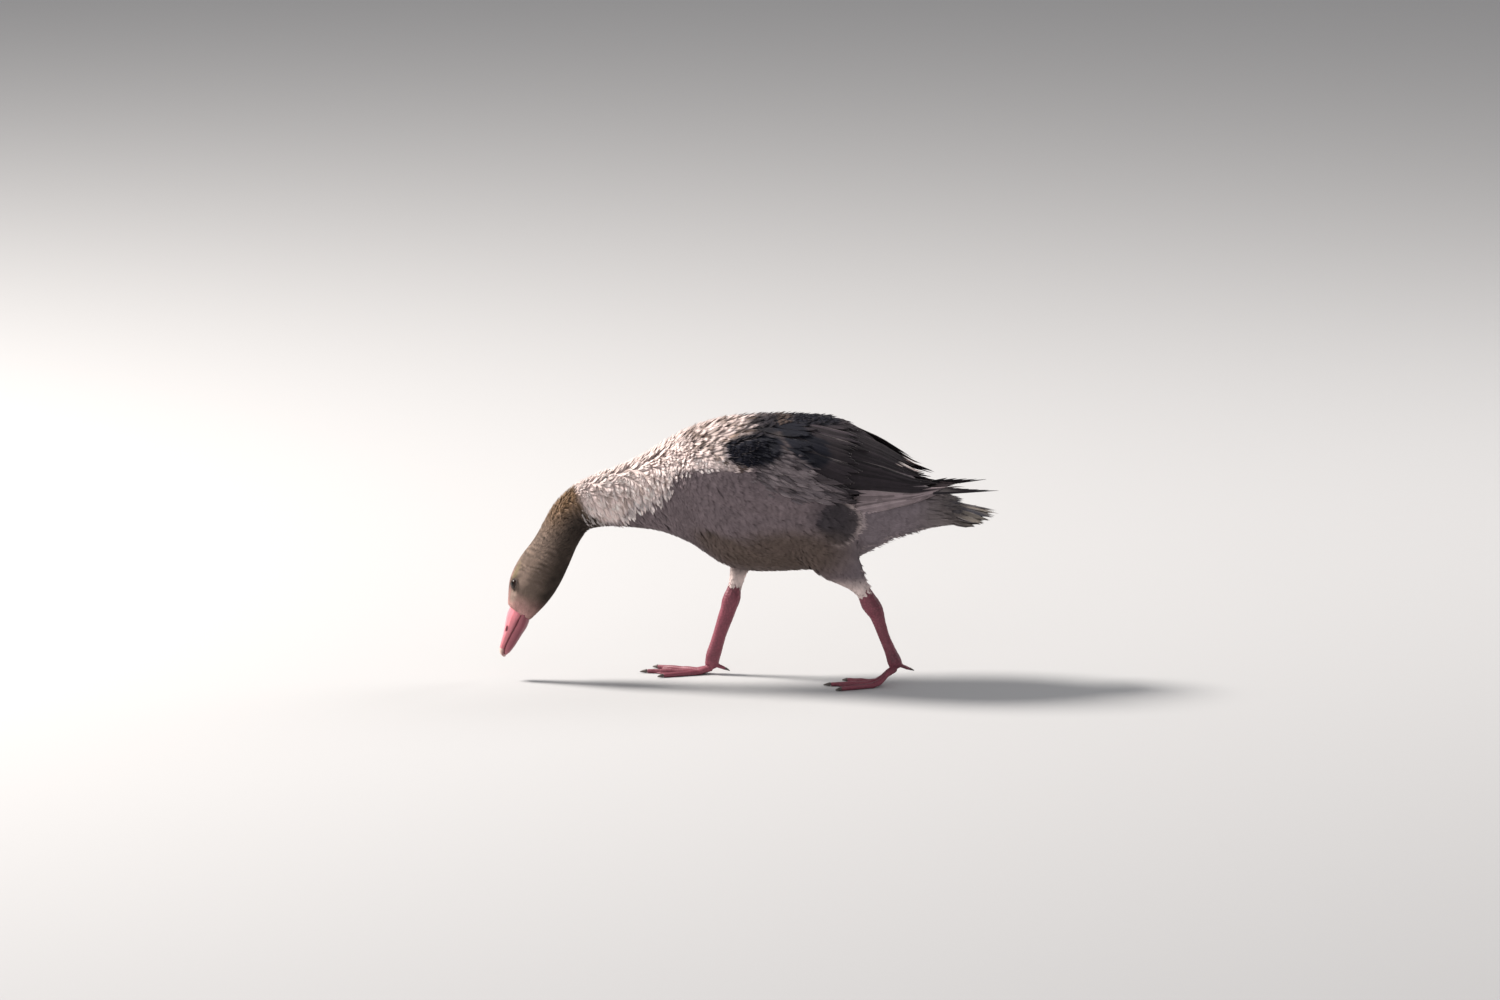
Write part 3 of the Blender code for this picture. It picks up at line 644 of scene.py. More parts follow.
def unwrap(points):
    """Where each point falls on the skin, opened flat: along the bird and round it, both from 0 to 1.
    The thighs have the strip at the far end to themselves."""
    along, _, angle = SPINE.place(points)
    u = 0.02 + 0.76 * np.clip(along / AT["tail"], 0, 1)
    v = 0.02 + 0.96 * (angle / (2 * math.pi) + 0.5)
    share, _ = thigh_share(points)
    low = BELLY_Z - 0.06
    leg_v = np.where(points[:, 1] < 0, 0.02, 0.52) + 0.46 * np.clip((points[:, 2] - low) / 0.12, 0, 1)
    top = LEG_LINES["left"][0] * 0.5 + LEG_LINES["right"][0] * 0.5
    leg_u = 0.82 + 0.16 * np.clip(0.5 + (points[:, 0] - top[0]) / 0.30, 0, 1)
    on_thigh = share > 0.6
    return np.stack([np.where(on_thigh, leg_u, u), np.where(on_thigh, leg_v, v)], 1)


# ---- surfaces that feathers lie on

# Random places drawn for each one that is kept on average.
CANDIDATES = 7


class Surface:
    """A closed mesh with smooth normals, for feathers to grow from and lie along."""

    def __init__(self, mesh):
        mesh.calc_loop_triangles()
        self.points, self.normals = read_points(mesh)
        self.triangles = read(mesh.loop_triangles, "vertices", 3, np.int32)
        self.tree = BVHTree.FromPolygons(self.points.tolist(), self.triangles.tolist())

    def nearest(self, points):
        """The nearest point of the surface and the smooth normal there, for each point."""
        found = [self.tree.find_nearest(p) for p in points.tolist()]
        places = np.array([f[0] for f in found])
        corners = self.triangles[[f[2] for f in found]]
        away = lengths(self.points[corners] - places[:, None])
        weight = 1 / np.maximum(away, 1e-5)
        return places, unit((self.normals[corners] * weight[..., None]).sum(1))

    def scatter(self, random, wanted, gap):
        """Root points over the surface, none nearer to another than gap(points) says. wanted(points)
        is the share of candidates to keep."""
        a, b, c = (self.points[self.triangles[:, k]] for k in range(3))
        middle = (a + b + c) / 3
        area = 0.5 * lengths(np.cross(b - a, c - a)) * (wanted(middle) > 0)
        weight = area / gap(middle) ** 2
        count = int(CANDIDATES * weight.sum())
        pick = random.choice(len(area), count, p=weight / weight.sum())
        r, s = random.random((2, count))
        root = np.sqrt(r)
        shares = (share[:, None] for share in (1 - root, root * (1 - s), root * s))
        points = sum(corner[pick] * share for corner, share in zip((a, b, c), shares))
        points = points[random.random(count) < wanted(points)]
        return points[spaced(points, gap(points))]


NEIGHBOURS = [(i, j, k) for i in (-1, 0, 1) for j in (-1, 0, 1) for k in (-1, 0, 1)]


def spaced(points, gaps):
    """Indexes of points kept, in order, so that none is nearer than its gap to one kept before."""
    cell = float(gaps.max())
    cells = {}
    kept = []
    keys = np.floor(points / cell).astype(int).tolist()
    for index, ((i, j, k), (x, y, z), gap) in enumerate(zip(keys, points.tolist(), gaps.tolist())):
        limit = gap * gap
        clear = True
        for key in NEIGHBOURS:
            for px, py, pz in cells.get((i + key[0], j + key[1], k + key[2]), ()):
                if (px - x) ** 2 + (py - y) ** 2 + (pz - z) ** 2 < limit:
                    clear = False
                    break
            if not clear:
                break
        if clear:
            cells.setdefault((i, j, k), []).append((x, y, z))
            kept.append(index)
    return np.array(kept)


# ---- feather shapes

# A vane's outline: half width at steps from root to tip, as a share of the widest. tip is how far the
# points of its last row reach, which gives a round, pointed or split end. camber is how far its sides
# drop and thickness half its thickness, both as shares of its width.
Vane = namedtuple("Vane", "widths tip camber thickness")
VANES = {
    "velvet": Vane((0.70, 1.00, 0.52), (0.91, 1.00, 0.92), 0.05, 0.026),
    "tuft": Vane((0.40, 0.92, 1.00, 0.66, 0.16), (0.96, 1.00, 0.97), 0.12, 0.050),
    "split": Vane((0.45, 1.00, 0.96, 0.70), (0.76, 1.00, 0.74, 0.96, 0.72), 0.05, 0.022),
    "fringed": Vane((0.40, 0.95, 1.00, 0.66), (0.80, 0.97, 0.86, 1.00, 0.76), 0.05, 0.022),
    "ragged": Vane((0.32, 0.80, 1.00, 0.92, 0.60), (0.76, 0.99, 0.80, 1.00, 0.72), 0.06, 0.022),
    "covert": Vane((0.25, 0.66, 0.95, 1.00, 0.80, 0.32), (0.93, 0.985, 1.00, 0.985, 0.93), 0.07, 0.016),
    "plume": Vane((0.25, 0.62, 0.90, 1.00, 0.78, 0.26), (0.86, 0.97, 1.00, 0.94, 0.88), 0.07, 0.016),
    "long": Vane((0.30, 0.62, 0.88, 1.00, 0.99, 0.84, 0.36), (0.955, 0.99, 1.00, 0.99, 0.955), 0.09, 0.020),
    "blade": Vane((0.70, 1.00, 1.00, 0.92, 0.72, 0.45, 0.10), (0.99, 1.00, 0.99), 0.10, 0.060),
}


def vane_template(vane):
    """Points (across, along, height) and quads of one closed vane, made from a folded grid."""
    columns = len(vane.tip) - 1
    rows = len(vane.widths) - 1
    bm = bmesh.new()
    bmesh.ops.create_grid(bm, x_segments=columns, y_segments=rows, size=0.5)
    lower = bmesh.ops.duplicate(bm, geom=bm.verts[:] + bm.edges[:] + bm.faces[:])["geom"]
    bmesh.ops.reverse_faces(bm, faces=[g for g in lower if isinstance(g, bmesh.types.BMFace)])
    lower = {g for g in lower if isinstance(g, bmesh.types.BMVert)}
    for vertex in bm.verts:
        across, along = vertex.co.x, vertex.co.y + 0.5
        column = round((across + 0.5) * columns)
        row = round(along * rows)
        reach = along * (vane.tip[column] if row == rows else 1)
        rim = row in (0, rows) or column in (0, columns)
        rise = 0 if rim else vane.thickness * (-1 if vertex in lower else 1)
        height = rise - vane.camber * (2 * across) ** 2 * vane.widths[row]
        vertex.co = (across * vane.widths[row], reach, height)
    bmesh.ops.remove_doubles(bm, verts=bm.verts, dist=1e-5)
    bm.verts.index_update()
    points = np.array([v.co[:] for v in bm.verts])
    quads = np.array([[v.index for v in f.verts] for f in bm.faces])
    bm.free()
    return points, quads


# How wide a feather's own patch is on the map for baking, round the place of its root.
OFBAKE_PATCH = 0.003


def join_vanes(name, parts, softness):
    """One mesh from arrays of vanes. Each part holds the placed points (feathers, points, 3), the quads,
    the template, the colours (feathers, points, 4), each root's place on the opened skin, and which way
    is up from the body at every point. softness is how far the shading follows that way."""
    points, loops, vane_map, bake_map, rgba, ups = [], [], [], [], [], []
    start = 0
    for placed, quads, template, colour, roots, up in parts:
        count, size = placed.shape[:2]
        points.append(placed.reshape(-1, 3))
        ups.append(up.reshape(-1, 3))
        loops.append((quads[None] + start + size * np.arange(count)[:, None, None]).reshape(-1))
        flat = np.stack([template[:, 0] + 0.5, template[:, 1]], 1)[quads.reshape(-1)]
        vane_map.append(np.tile(flat, (count, 1)))
        patch = (flat - 0.5) * OFBAKE_PATCH
        bake_map.append((roots[:, None, :] + patch[None]).reshape(-1, 2))
        rgba.append(colour.reshape(-1, 4))
        start += count * size
    points, loops = np.concatenate(points), np.concatenate(loops)
    mesh = bpy.data.meshes.new(name)
    mesh.vertices.add(len(points))
    mesh.vertices.foreach_set("co", points.astype(np.float32).ravel())
    mesh.loops.add(len(loops))
    mesh.loops.foreach_set("vertex_index", loops.astype(np.int32))
    mesh.polygons.add(len(loops) // 4)
    mesh.polygons.foreach_set("loop_start", np.arange(0, len(loops), 4, dtype=np.int32))
    mesh.update(calc_edges=True)
    for layer, values in (("OFBake", bake_map), ("vane", vane_map)):
        uv = mesh.uv_layers.new(name=layer)
        uv.data.foreach_set("uv", np.concatenate(values).astype(np.float32).ravel())
    paint(mesh, "plumage", np.concatenate(rgba))
    mesh.shade_smooth()
    _, own = read_points(mesh)
    ups = np.concatenate(ups)
    outer = (own * ups).sum(1) > -0.35
    soft = np.where(outer[:, None], unit(own * (1 - softness) + ups * softness), own)
    mesh.normals_split_custom_set_from_vertices(soft.tolist())
    return new_piece(name, mesh)


def opened(points):
    """Roots on the opened skin, spread over the whole map for the piece they belong to."""
    flat = unwrap(points)
    low, high = flat.min(0), flat.max(0)
    return 0.01 + 0.98 * (flat - low) / np.maximum(high - low, 1e-6)


def shade_vanes(base, template, edge, random, root_dark=0.93, tip_light=1.03, vary=0.045):
    """Colours for each point of each vane, from base (feathers, points or 1, 3): darker at the root, which is
    painted shade under the feathers that lap over it, lighter at the tip, each a little different. The last
    channel is how pale the vane's fringe is."""
    differ = varied(random, (len(base), 1, 1), vary)
    along = template[None, :, 1, None]
    tone = root_dark + (tip_light - root_dark) * ease(along, 0.0, 0.8)
    colour = np.clip(base * tone * differ, 0.003, 0.95)
    return with_alpha(colour, edge)


# ---- coats laid on the skin

# A coat is one field of feathers. Lengths, widths and gaps in millimetres. stand is how far tips rise
# beyond the coat's depth, clump how far feathers gather into pointed tufts, clump_gap apart, edge how
# pale the fringes are, and softness how far the shading follows the body instead of each vane.
Coat = namedtuple("Coat", "vanes length width gap stand clump clump_gap edge softness")
COATS = {
    "head": Coat(("velvet",), 4.8, 1.8, 1.30, 0.0, 0.0, 0, 0.0, 0.85),
    "neck_upper": Coat(("velvet", "tuft"), 8.0, 2.5, 1.85, 0.7, 0.50, 5.5, 0.10, 0.60),
    "neck_lower": Coat(("tuft", "split"), 13.0, 3.8, 2.65, 1.8, 0.72, 8.5, 0.0, 0.60),
    "tufts": Coat(("tuft",), 13.0, 6.0, 4.6, 3.2, 0.55, 9.5, 0.0, 0.45),
    "hem": Coat(("tuft", "ragged"), 15.0, 5.5, 4.4, 2.6, 0.60, 13, 0.0, 0.60),
    "breast": Coat(("split", "fringed"), 18.0, 6.8, 3.4, 0.06, 0.28, 12, 0.0, 0.93),
    "flank": Coat(("split", "fringed", "ragged"), 19.0, 7.4, 3.9, 0.08, 0.26, 15, 0.0, 0.93),
    "mantle": Coat(("ragged", "split"), 22.0, 8.0, 4.3, 1.8, 0.45, 13, 0.35, 0.60),
    "thigh": Coat(("split", "tuft"), 12.0, 4.2, 2.5, 0.15, 0.40, 8, 0.0, 0.85),
    "tail_coverts": Coat(("ragged", "split"), 30.0, 6.5, 2.9, 0.4, 0.0, 14, 0.22, 0.70),
}


def skin_surface():
    return Surface(bpy.data.objects["skin"].data)


def coat_depth(points):
    """How deep the coat is at each point, which is how far the skin lies inside the solids."""
    s = sizes()
    along, _ = SPINE.measure(points)
    depth = 0.4 * MM + (s.head_coat - 0.4 * MM) * ease(along, AT["face"], AT["face"] + 0.016)
    depth = depth + (s.neck_coat - s.head_coat) * ease(along, AT["nape"] - 0.035, AT["nape"] + 0.02)
    depth = depth + (s.body_coat - s.neck_coat) * ease(along, AT["pale"], AT["crop"] + 0.02)
    share, _ = thigh_share(points)
    return depth * (1 - share) + s.thigh_coat * share


def gathered(roots, flows, normals, length, coat):
    """Turns feathers towards the tip of the nearest leader, so that they gather into tufts."""
    leaders = spaced(roots, np.full(len(roots), coat.clump_gap * MM))
    tree = KDTree(len(leaders))
    for index in leaders:
        tree.insert(roots[index], int(index))
    tree.balance()
    nearest = np.array([tree.find(p)[1] for p in roots])
    aim = roots[nearest] + flows[nearest] * (length[nearest] * 1.05)[:, None] - roots
    aim -= normals * (aim * normals).sum(1, keepdims=True)
    return unit(flows * (1 - coat.clump) + unit(aim) * coat.clump)


def lay_coat(name, kind, wanted, size=None, tint=None, rough=None, straight=False):
    """Builds one field of body feathers over the part of the skin that wanted(points) picks. size and
    rough give how large feathers are and how far they stand out, as shares of the coat's own. tint
    changes their colours, and straight ones point at the tail's end without following the skin."""
    coat = COATS[kind]
    surface = skin_surface()
    random = random_for(name)
    scale = size or (lambda p: np.ones(len(p)))
    roots = surface.scatter(random, wanted, lambda p: coat.gap * MM * scale(p))
    roots, normals = surface.nearest(roots)
    along, tangent, _ = SPINE.place(roots)
    sideways = ((normals * tangent).sum(1) < 0.75) | (along < AT["rump"] - 0.03)
    roots, normals = roots[sideways], normals[sideways]
    flows = feather_flow(roots, normals)
    if straight:
        x, y, z = roots.T
        end = tail_end()
        aim = np.stack([0 * x + end[0], 1.7 * y, end[2] + 0.12 * (z - end[2])], 1)
        flows = unit(aim - roots)
    flows = unit(flows + 0.09 * np.cross(normals, flows) * random.standard_normal((len(roots), 1)))
    grow = scale(roots) * varied(random, len(roots), 0.11)
    length = coat.length * MM * grow
    if coat.clump:
        flows = gathered(roots, flows, normals, length, coat)
    width = coat.width * MM * grow
    depth = coat_depth(roots)
    base = plumage(roots + flows * (0.6 * length)[:, None])
    tinted = tint(roots, base, random) if tint else base
    stand = coat.stand * (0.5 + random.random(len(roots))) * (rough(roots) if rough else 1)
    shape = random.integers(0, len(coat.vanes), len(roots))
    spread = opened(roots)
    parts = []
    for number, vane in enumerate(coat.vanes):
        chosen = shape == number
        template, quads = vane_template(VANES[vane])
        placed, ups = lie_down(
            surface, template, roots[chosen], normals[chosen], flows[chosen], length[chosen], width[chosen],
            depth[chosen], stand[chosen], straight,
        )
        plain, goal = base[chosen][:, None], tinted[chosen][:, None]
        here = plumage(placed.reshape(-1, 3)).reshape(placed.shape)
        here = 0.7 * here + 0.3 * plain
        here = np.minimum(here * goal / plain, np.maximum(here, goal))
        colour = shade_vanes(here, template, coat.edge, random)
        parts.append((placed, quads, template, colour, spread[chosen], ups))
    return join_vanes(name, parts, coat.softness)


def flat_vanes(template, starts, flows, sides, length, width):
    """The points of vanes laid flat from their starts, without their rise."""
    across, along, _ = template.T
    return (
        starts[:, None]
        + flows[:, None] * (along[None, :, None] * length[:, None, None])
        + sides[:, None] * (across[None, :, None] * width[:, None, None])
    )


def lie_down(surface, template, roots, normals, flows, length, width, depth, stand, straight):
    """Places vanes on their roots and bends them along the surface, or leaves them straight. stand, in
    millimetres, lifts the tips beyond the coat's depth. Returns the points and the skin's normals."""
    _, along, rise = template.T
    points = flat_vanes(template, roots, flows, np.cross(flows, normals), length, width)
    if straight:
        places, ups = points, np.broadcast_to(normals[:, None], points.shape)
    else:
        places, ups = surface.nearest(points.reshape(-1, 3))
        places, ups = places.reshape(points.shape), ups.reshape(points.shape)
    t = np.clip(along, 0, 1)[None]
    sunk = 0.15 * depth[:, None]
    height = -sunk + (depth[:, None] + sunk) * (0.5 * t + 0.5 * (1 - (1 - t) ** 2))
    height = height + stand[:, None] * MM * t**3 + rise[None] * width[:, None]
    return places + ups * height[..., None], ups


# ---- the folded wing's form


class WingForm:
    """The outer form of a folded wing: an ellipse round the trunk that changes from front to rear."""

    def __init__(self, side):
        self.side, self.hand = side, SIDES[side]
        points, normals = read_points(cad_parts[f"wing_{side}"].data)
        self.x, self.out, self.up, self.middle = [], [], [], []
        stations = sorted({round(x, 4) for x in points[:, 0].tolist()})
        for x in stations:
            ring = np.abs(points[:, 0] - x) < 2e-4
            y, z = points[ring, 1], points[ring, 2]
            middle = self.guess_middle(x)
            outward = normals[ring, 1] * y + normals[ring, 2] * (z - middle) > 0
            rows = np.stack([y[outward] ** 2, (z[outward] - middle) ** 2], 1)
            if len(rows) < 5:
                continue
            squares = np.linalg.lstsq(rows, np.ones(len(rows)), rcond=None)[0]
            if squares.min() <= 0:
                continue
            self.x.append(x)
            self.out.append(squares[0] ** -0.5)
            self.up.append(squares[1] ** -0.5)
            self.middle.append(middle)
        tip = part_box(f"wing_tip_{side}")
        self.x.append(tip[1].x)
        self.out.append(max(abs(tip[0].y), abs(tip[1].y)))
        self.up.append(6 * MM)
        self.middle.append(tip[0].z)

    @staticmethod
    def guess_middle(x):
        return MIDDLE_Z - 2 * MM + 9 * MM * float(ease(x, 0.20, 0.26))

    def point(self, x, turn, height=0.0):
        """The point over the form at a turn in radians from the outermost line towards the back."""
        out = np.interp(x, self.x, self.out) + height
        up = np.interp(x, self.x, self.up) + height
        middle = np.interp(x, self.x, self.middle)
        return np.stack([x, self.hand * out * np.cos(turn), middle + up * np.sin(turn)], -1)

    def radius(self, x):
        return (np.interp(x, self.x, self.out) + np.interp(x, self.x, self.up)) / 2

    def lay(self, template, x, turn, heading, length, width, lift, tip_lift, bow=0.0):
        """Lays vanes on the form. heading is the way each points, in radians down from straight
        back, and bow how far it bends upwards along its length."""
        across, along, rise = template.T
        radius = np.maximum(self.radius(x), 14 * MM)[:, None]
        bend = heading[:, None] - np.asarray(bow)[..., None] * along[None]
        back, down = np.cos(bend), np.sin(bend)
        run = along[None] * length[:, None]
        span = self.hand * across[None] * width[:, None]
        px = x[:, None] + run * back + span * down
        pt = turn[:, None] - (run * down - span * back) / radius
        risen = np.asarray(tip_lift)[..., None] * along[None] ** 1.3
        height = lift[:, None] + risen + rise[None] * width[:, None]
        up = np.stack([0 * px, self.hand * np.cos(pt), np.sin(pt)], -1)
        return self.point(px, pt, height), up


# ---- materials


def shader(tree, kind, **values):
    """A new shader node. Values name sockets, with _ for a space, or the node's own settings."""
    made = tree.nodes.new(kind)
    for name, value in values.items():
        socket = made.inputs.get(name.replace("_", " "))
        if socket is not None:
            socket.default_value = value
        else:
            setattr(made, name, value)
    return made


def new_material(name, **values):
    """A material with its Principled BSDF set. Returns the material, its tree and the BSDF."""
    material = bpy.data.materials.new(name)
    material.use_nodes = True
    tree = material.node_tree
    bsdf = tree.nodes["Principled BSDF"]
    for socket, value in values.items():
        bsdf.inputs[socket.replace("_", " ")].default_value = value
    return material, tree, bsdf


def new_group(name, inputs, outputs):
    """A shader node group of values, with inputs {name: default} and outputs by name."""
    tree = bpy.data.node_groups.new(name, "ShaderNodeTree")
    for label, default in inputs.items():
        socket = tree.interface.new_socket(label, in_out="INPUT", socket_type="NodeSocketFloat")
        socket.default_value = default
    for label in outputs:
        tree.interface.new_socket(label, in_out="OUTPUT", socket_type="NodeSocketFloat")
    return tree, tree.nodes.new("NodeGroupInput"), tree.nodes.new("NodeGroupOutput")


def place_group(tree, name, **values):
    """A node that uses a shader group, with values for its inputs."""
    made = tree.nodes.new("ShaderNodeGroup")
    made.node_tree = bpy.data.node_groups[name]
    for label, value in values.items():
        made.inputs[label.replace("_", " ")].default_value = value
    return made


def feed(tree, socket, value):
    """Links an output to a socket, or gives the socket a number or a colour of its own."""
    if isinstance(value, bpy.types.NodeSocket):
        tree.links.new(value, socket)
    elif isinstance(value, (int, float)):
        socket.default_value = value
    else:
        socket.default_value = (*value[:3], 1)


def maths(tree, operation, first, second=None, clamp=False):
    """A Math node fed by sockets or numbers. Returns its output."""
    made = tree.nodes.new("ShaderNodeMath")
    made.operation = operation
    made.use_clamp = clamp
    feed(tree, made.inputs[0], first)
    if second is not None:
        feed(tree, made.inputs[1], second)
    return made.outputs[0]


def blended(tree, kind, share, first, second):
    """A colour Mix node fed by sockets or colours. Returns its colour output."""
    made = tree.nodes.new("ShaderNodeMix")
    made.data_type = "RGBA"
    made.blend_type = kind
    made.clamp_factor = True
    for index, value in ((0, share), (6, first), (7, second)):
        feed(tree, made.inputs[index], value)
    return made.outputs[2]


def build_vane_group():
    """Marks of a feather on its own map: the shaft, the pale fringe and the fine barbs."""
    tree, given, result = new_group(
        "feather_vane",
        {"Barbs": 40, "Shaft Width": 0.035, "Fringe Width": 0.16, "Tip Width": 0.1},
        ("Shaft", "Fringe", "Barb"),
    )
    uv = shader(tree, "ShaderNodeUVMap", uv_map="vane")
    split = tree.nodes.new("ShaderNodeSeparateXYZ")
    tree.links.new(uv.outputs[0], split.inputs[0])
    out = maths(tree, "ABSOLUTE", maths(tree, "SUBTRACT", split.outputs[0], 0.5))
    shaft = maths(tree, "SUBTRACT", 1, maths(tree, "DIVIDE", out, given.outputs["Shaft Width"]), True)
    slant = maths(tree, "ADD", split.outputs[1], maths(tree, "MULTIPLY", out, -0.9))
    turns = maths(tree, "MULTIPLY", slant, given.outputs["Barbs"])
    line = maths(tree, "SINE", maths(tree, "MULTIPLY", turns, 6.283))
    barb = maths(tree, "ADD", maths(tree, "MULTIPLY", line, 0.5), 0.5)
    side = maths(tree, "SUBTRACT", out, maths(tree, "SUBTRACT", 0.5, given.outputs["Fringe Width"]))
    side = maths(tree, "DIVIDE", side, given.outputs["Fringe Width"], True)
    end = maths(tree, "SUBTRACT", split.outputs[1], maths(tree, "SUBTRACT", 1, given.outputs["Tip Width"]))
    end = maths(tree, "DIVIDE", end, given.outputs["Tip Width"], True)
    fringe = maths(tree, "MAXIMUM", side, end)
    for label, socket in (("Shaft", shaft), ("Fringe", fringe), ("Barb", barb)):
        tree.links.new(socket, result.inputs[label])


def build_mottle_group():
    """Uneven wear and dust over any surface, from the piece's own place."""
    tree, given, result = new_group("mottle", {"Scale": 60, "Low": 0.8, "High": 1.15}, ("Tone", "Height"))
    place = tree.nodes.new("ShaderNodeTexCoord")
    cloud = shader(tree, "ShaderNodeTexNoise", Detail=5.0, Roughness=0.6)
    tree.links.new(place.outputs["Object"], cloud.inputs["Vector"])
    tree.links.new(given.outputs["Scale"], cloud.inputs["Scale"])
    spread = tree.nodes.new("ShaderNodeMapRange")
    spread.inputs["From Min"].default_value = 0.25
    spread.inputs["From Max"].default_value = 0.75
    tree.links.new(cloud.outputs[0], spread.inputs["Value"])
    tree.links.new(given.outputs["Low"], spread.inputs["To Min"])
    tree.links.new(given.outputs["High"], spread.inputs["To Max"])
    tree.links.new(spread.outputs[0], result.inputs["Tone"])
    tree.links.new(cloud.outputs[0], result.inputs["Height"])


def build_pebble_group():
    """Small rounded scales with creases between them, for bare skin."""
    tree, given, result = new_group("pebbled_skin", {"Scale": 700, "Crease": 0.12}, ("Height", "Crease"))
    place = tree.nodes.new("ShaderNodeTexCoord")
    cells = shader(tree, "ShaderNodeTexVoronoi", feature="DISTANCE_TO_EDGE")
    tree.links.new(place.outputs["Object"], cells.inputs["Vector"])
    tree.links.new(given.outputs["Scale"], cells.inputs["Scale"])
    height = maths(tree, "DIVIDE", cells.outputs["Distance"], given.outputs["Crease"], True)
    tree.links.new(height, result.inputs["Height"])
    tree.links.new(maths(tree, "SUBTRACT", 1, height), result.inputs["Crease"])


def painted(tree):
    """The colours painted on a feathered piece."""
    return shader(tree, "ShaderNodeAttribute", attribute_name="plumage")


def finish_surface(tree, bsdf, colour, height=None, strength=0.3, distance=0.0004):
    """Links the colour and, where there is a height, its relief."""
    tree.links.new(colour, bsdf.inputs["Base Color"])
    if height is not None:
        bump = shader(tree, "ShaderNodeBump", Strength=strength, Distance=distance)
        tree.links.new(height, bump.inputs["Height"])
        tree.links.new(bump.outputs[0], bsdf.inputs["Normal"])


def toned(tree, colour, tone):
    """A colour made lighter or darker by a value."""
    grey = tree.nodes.new("ShaderNodeCombineColor")
    for socket in grey.inputs[:3]:
        tree.links.new(tone, socket)
    return blended(tree, "MULTIPLY", 1.0, colour, grey.outputs[0])


# What a feather's colour is multiplied by along its shaft.
SHAFT_TINT = (0.45, 0.4, 0.38)


def feather_material(name, roughness, barbs, shaft, fringe, tip, strength, sheen=0.15):
    """Plumage with a shaft, barbs and fringe on every vane, and wear over them all. shaft, fringe and
    tip are widths as shares of the vane's map, barbs their number and strength how deep they are."""
    material, tree, bsdf = new_material(name, Roughness=roughness, Sheen_Weight=sheen, Sheen_Roughness=0.6)
    bsdf.inputs["Specular IOR Level"].default_value = 0.18
    colour = painted(tree)
    vane = place_group(
        tree, "feather_vane", Barbs=barbs, Shaft_Width=shaft, Fringe_Width=fringe, Tip_Width=tip
    )
    wear = place_group(tree, "mottle", Scale=90.0, Low=0.78, High=1.2)
    base = toned(tree, colour.outputs["Color"], wear.outputs["Tone"])
    base = toned(tree, base, maths(tree, "ADD", maths(tree, "MULTIPLY", vane.outputs["Barb"], 0.12), 0.92))
    pale = maths(tree, "MULTIPLY", vane.outputs["Fringe"], colour.outputs["Alpha"])
    base = blended(tree, "MIX", pale, base, rgb("feather_edge"))
    shaft_share = maths(tree, "MULTIPLY", vane.outputs["Shaft"], 0.30)
    base = blended(tree, "MULTIPLY", shaft_share, base, SHAFT_TINT)
    relief = maths(tree, "ADD", vane.outputs["Barb"], maths(tree, "MULTIPLY", vane.outputs["Shaft"], 2.5))
    finish_surface(tree, bsdf, base, relief, strength, 0.00025)
    tree.links.new(base, bsdf.inputs["Sheen Tint"])
    return material


def bare_material(name, colour, shade, crease_scale, crease, roughness, strength, coat=0.0, crease_shade=0.35):
    """Bare skin or horn: its colour, darker where the mesh is painted dark, with pebbled relief and painted
    shade in the creases between the pebbles.
    """
    material, tree, bsdf = new_material(name, Roughness=roughness, Coat_Weight=coat, Coat_Roughness=0.35)
    mask = shader(tree, "ShaderNodeAttribute", attribute_name="shade")
    pebbles = place_group(tree, "pebbled_skin", Scale=crease_scale, Crease=crease)
    wear = place_group(tree, "mottle", Scale=55.0, Low=0.82, High=1.14)
    base = blended(tree, "MIX", mask.outputs["Fac"], rgb(colour), rgb(shade))
    base = toned(tree, base, wear.outputs["Tone"])
    # Painted shade in the creases between the pebbled scales.
    creases = maths(tree, "MULTIPLY", pebbles.outputs["Crease"], crease_shade)
    base = blended(tree, "MIX", creases, base, rgb(shade))
    finish_surface(tree, bsdf, base, pebbles.outputs["Height"], strength, 0.0002)
    return material


def shade_mask(piece, values):
    """Paints how dark bare skin or horn is at each point, from 0 to 1."""
    layer = piece.data.attributes.new("shade", "FLOAT", "POINT")
    layer.data.foreach_set("value", np.clip(values, 0, 1).astype(np.float32))


# ---- skin

# The opening between the lids: its half heights over and under the middle, as shares of its half
# length, and the width of its rim and the place of the fold outside it, in degrees seen from the
# eyeball's centre. The skin is cut finer within reach of the eyes.
LID_OVER, LID_UNDER = 0.72, 0.78
LID_RIM = 2.2
LID_FOLD = 19
LID_REACH = 14 * MM


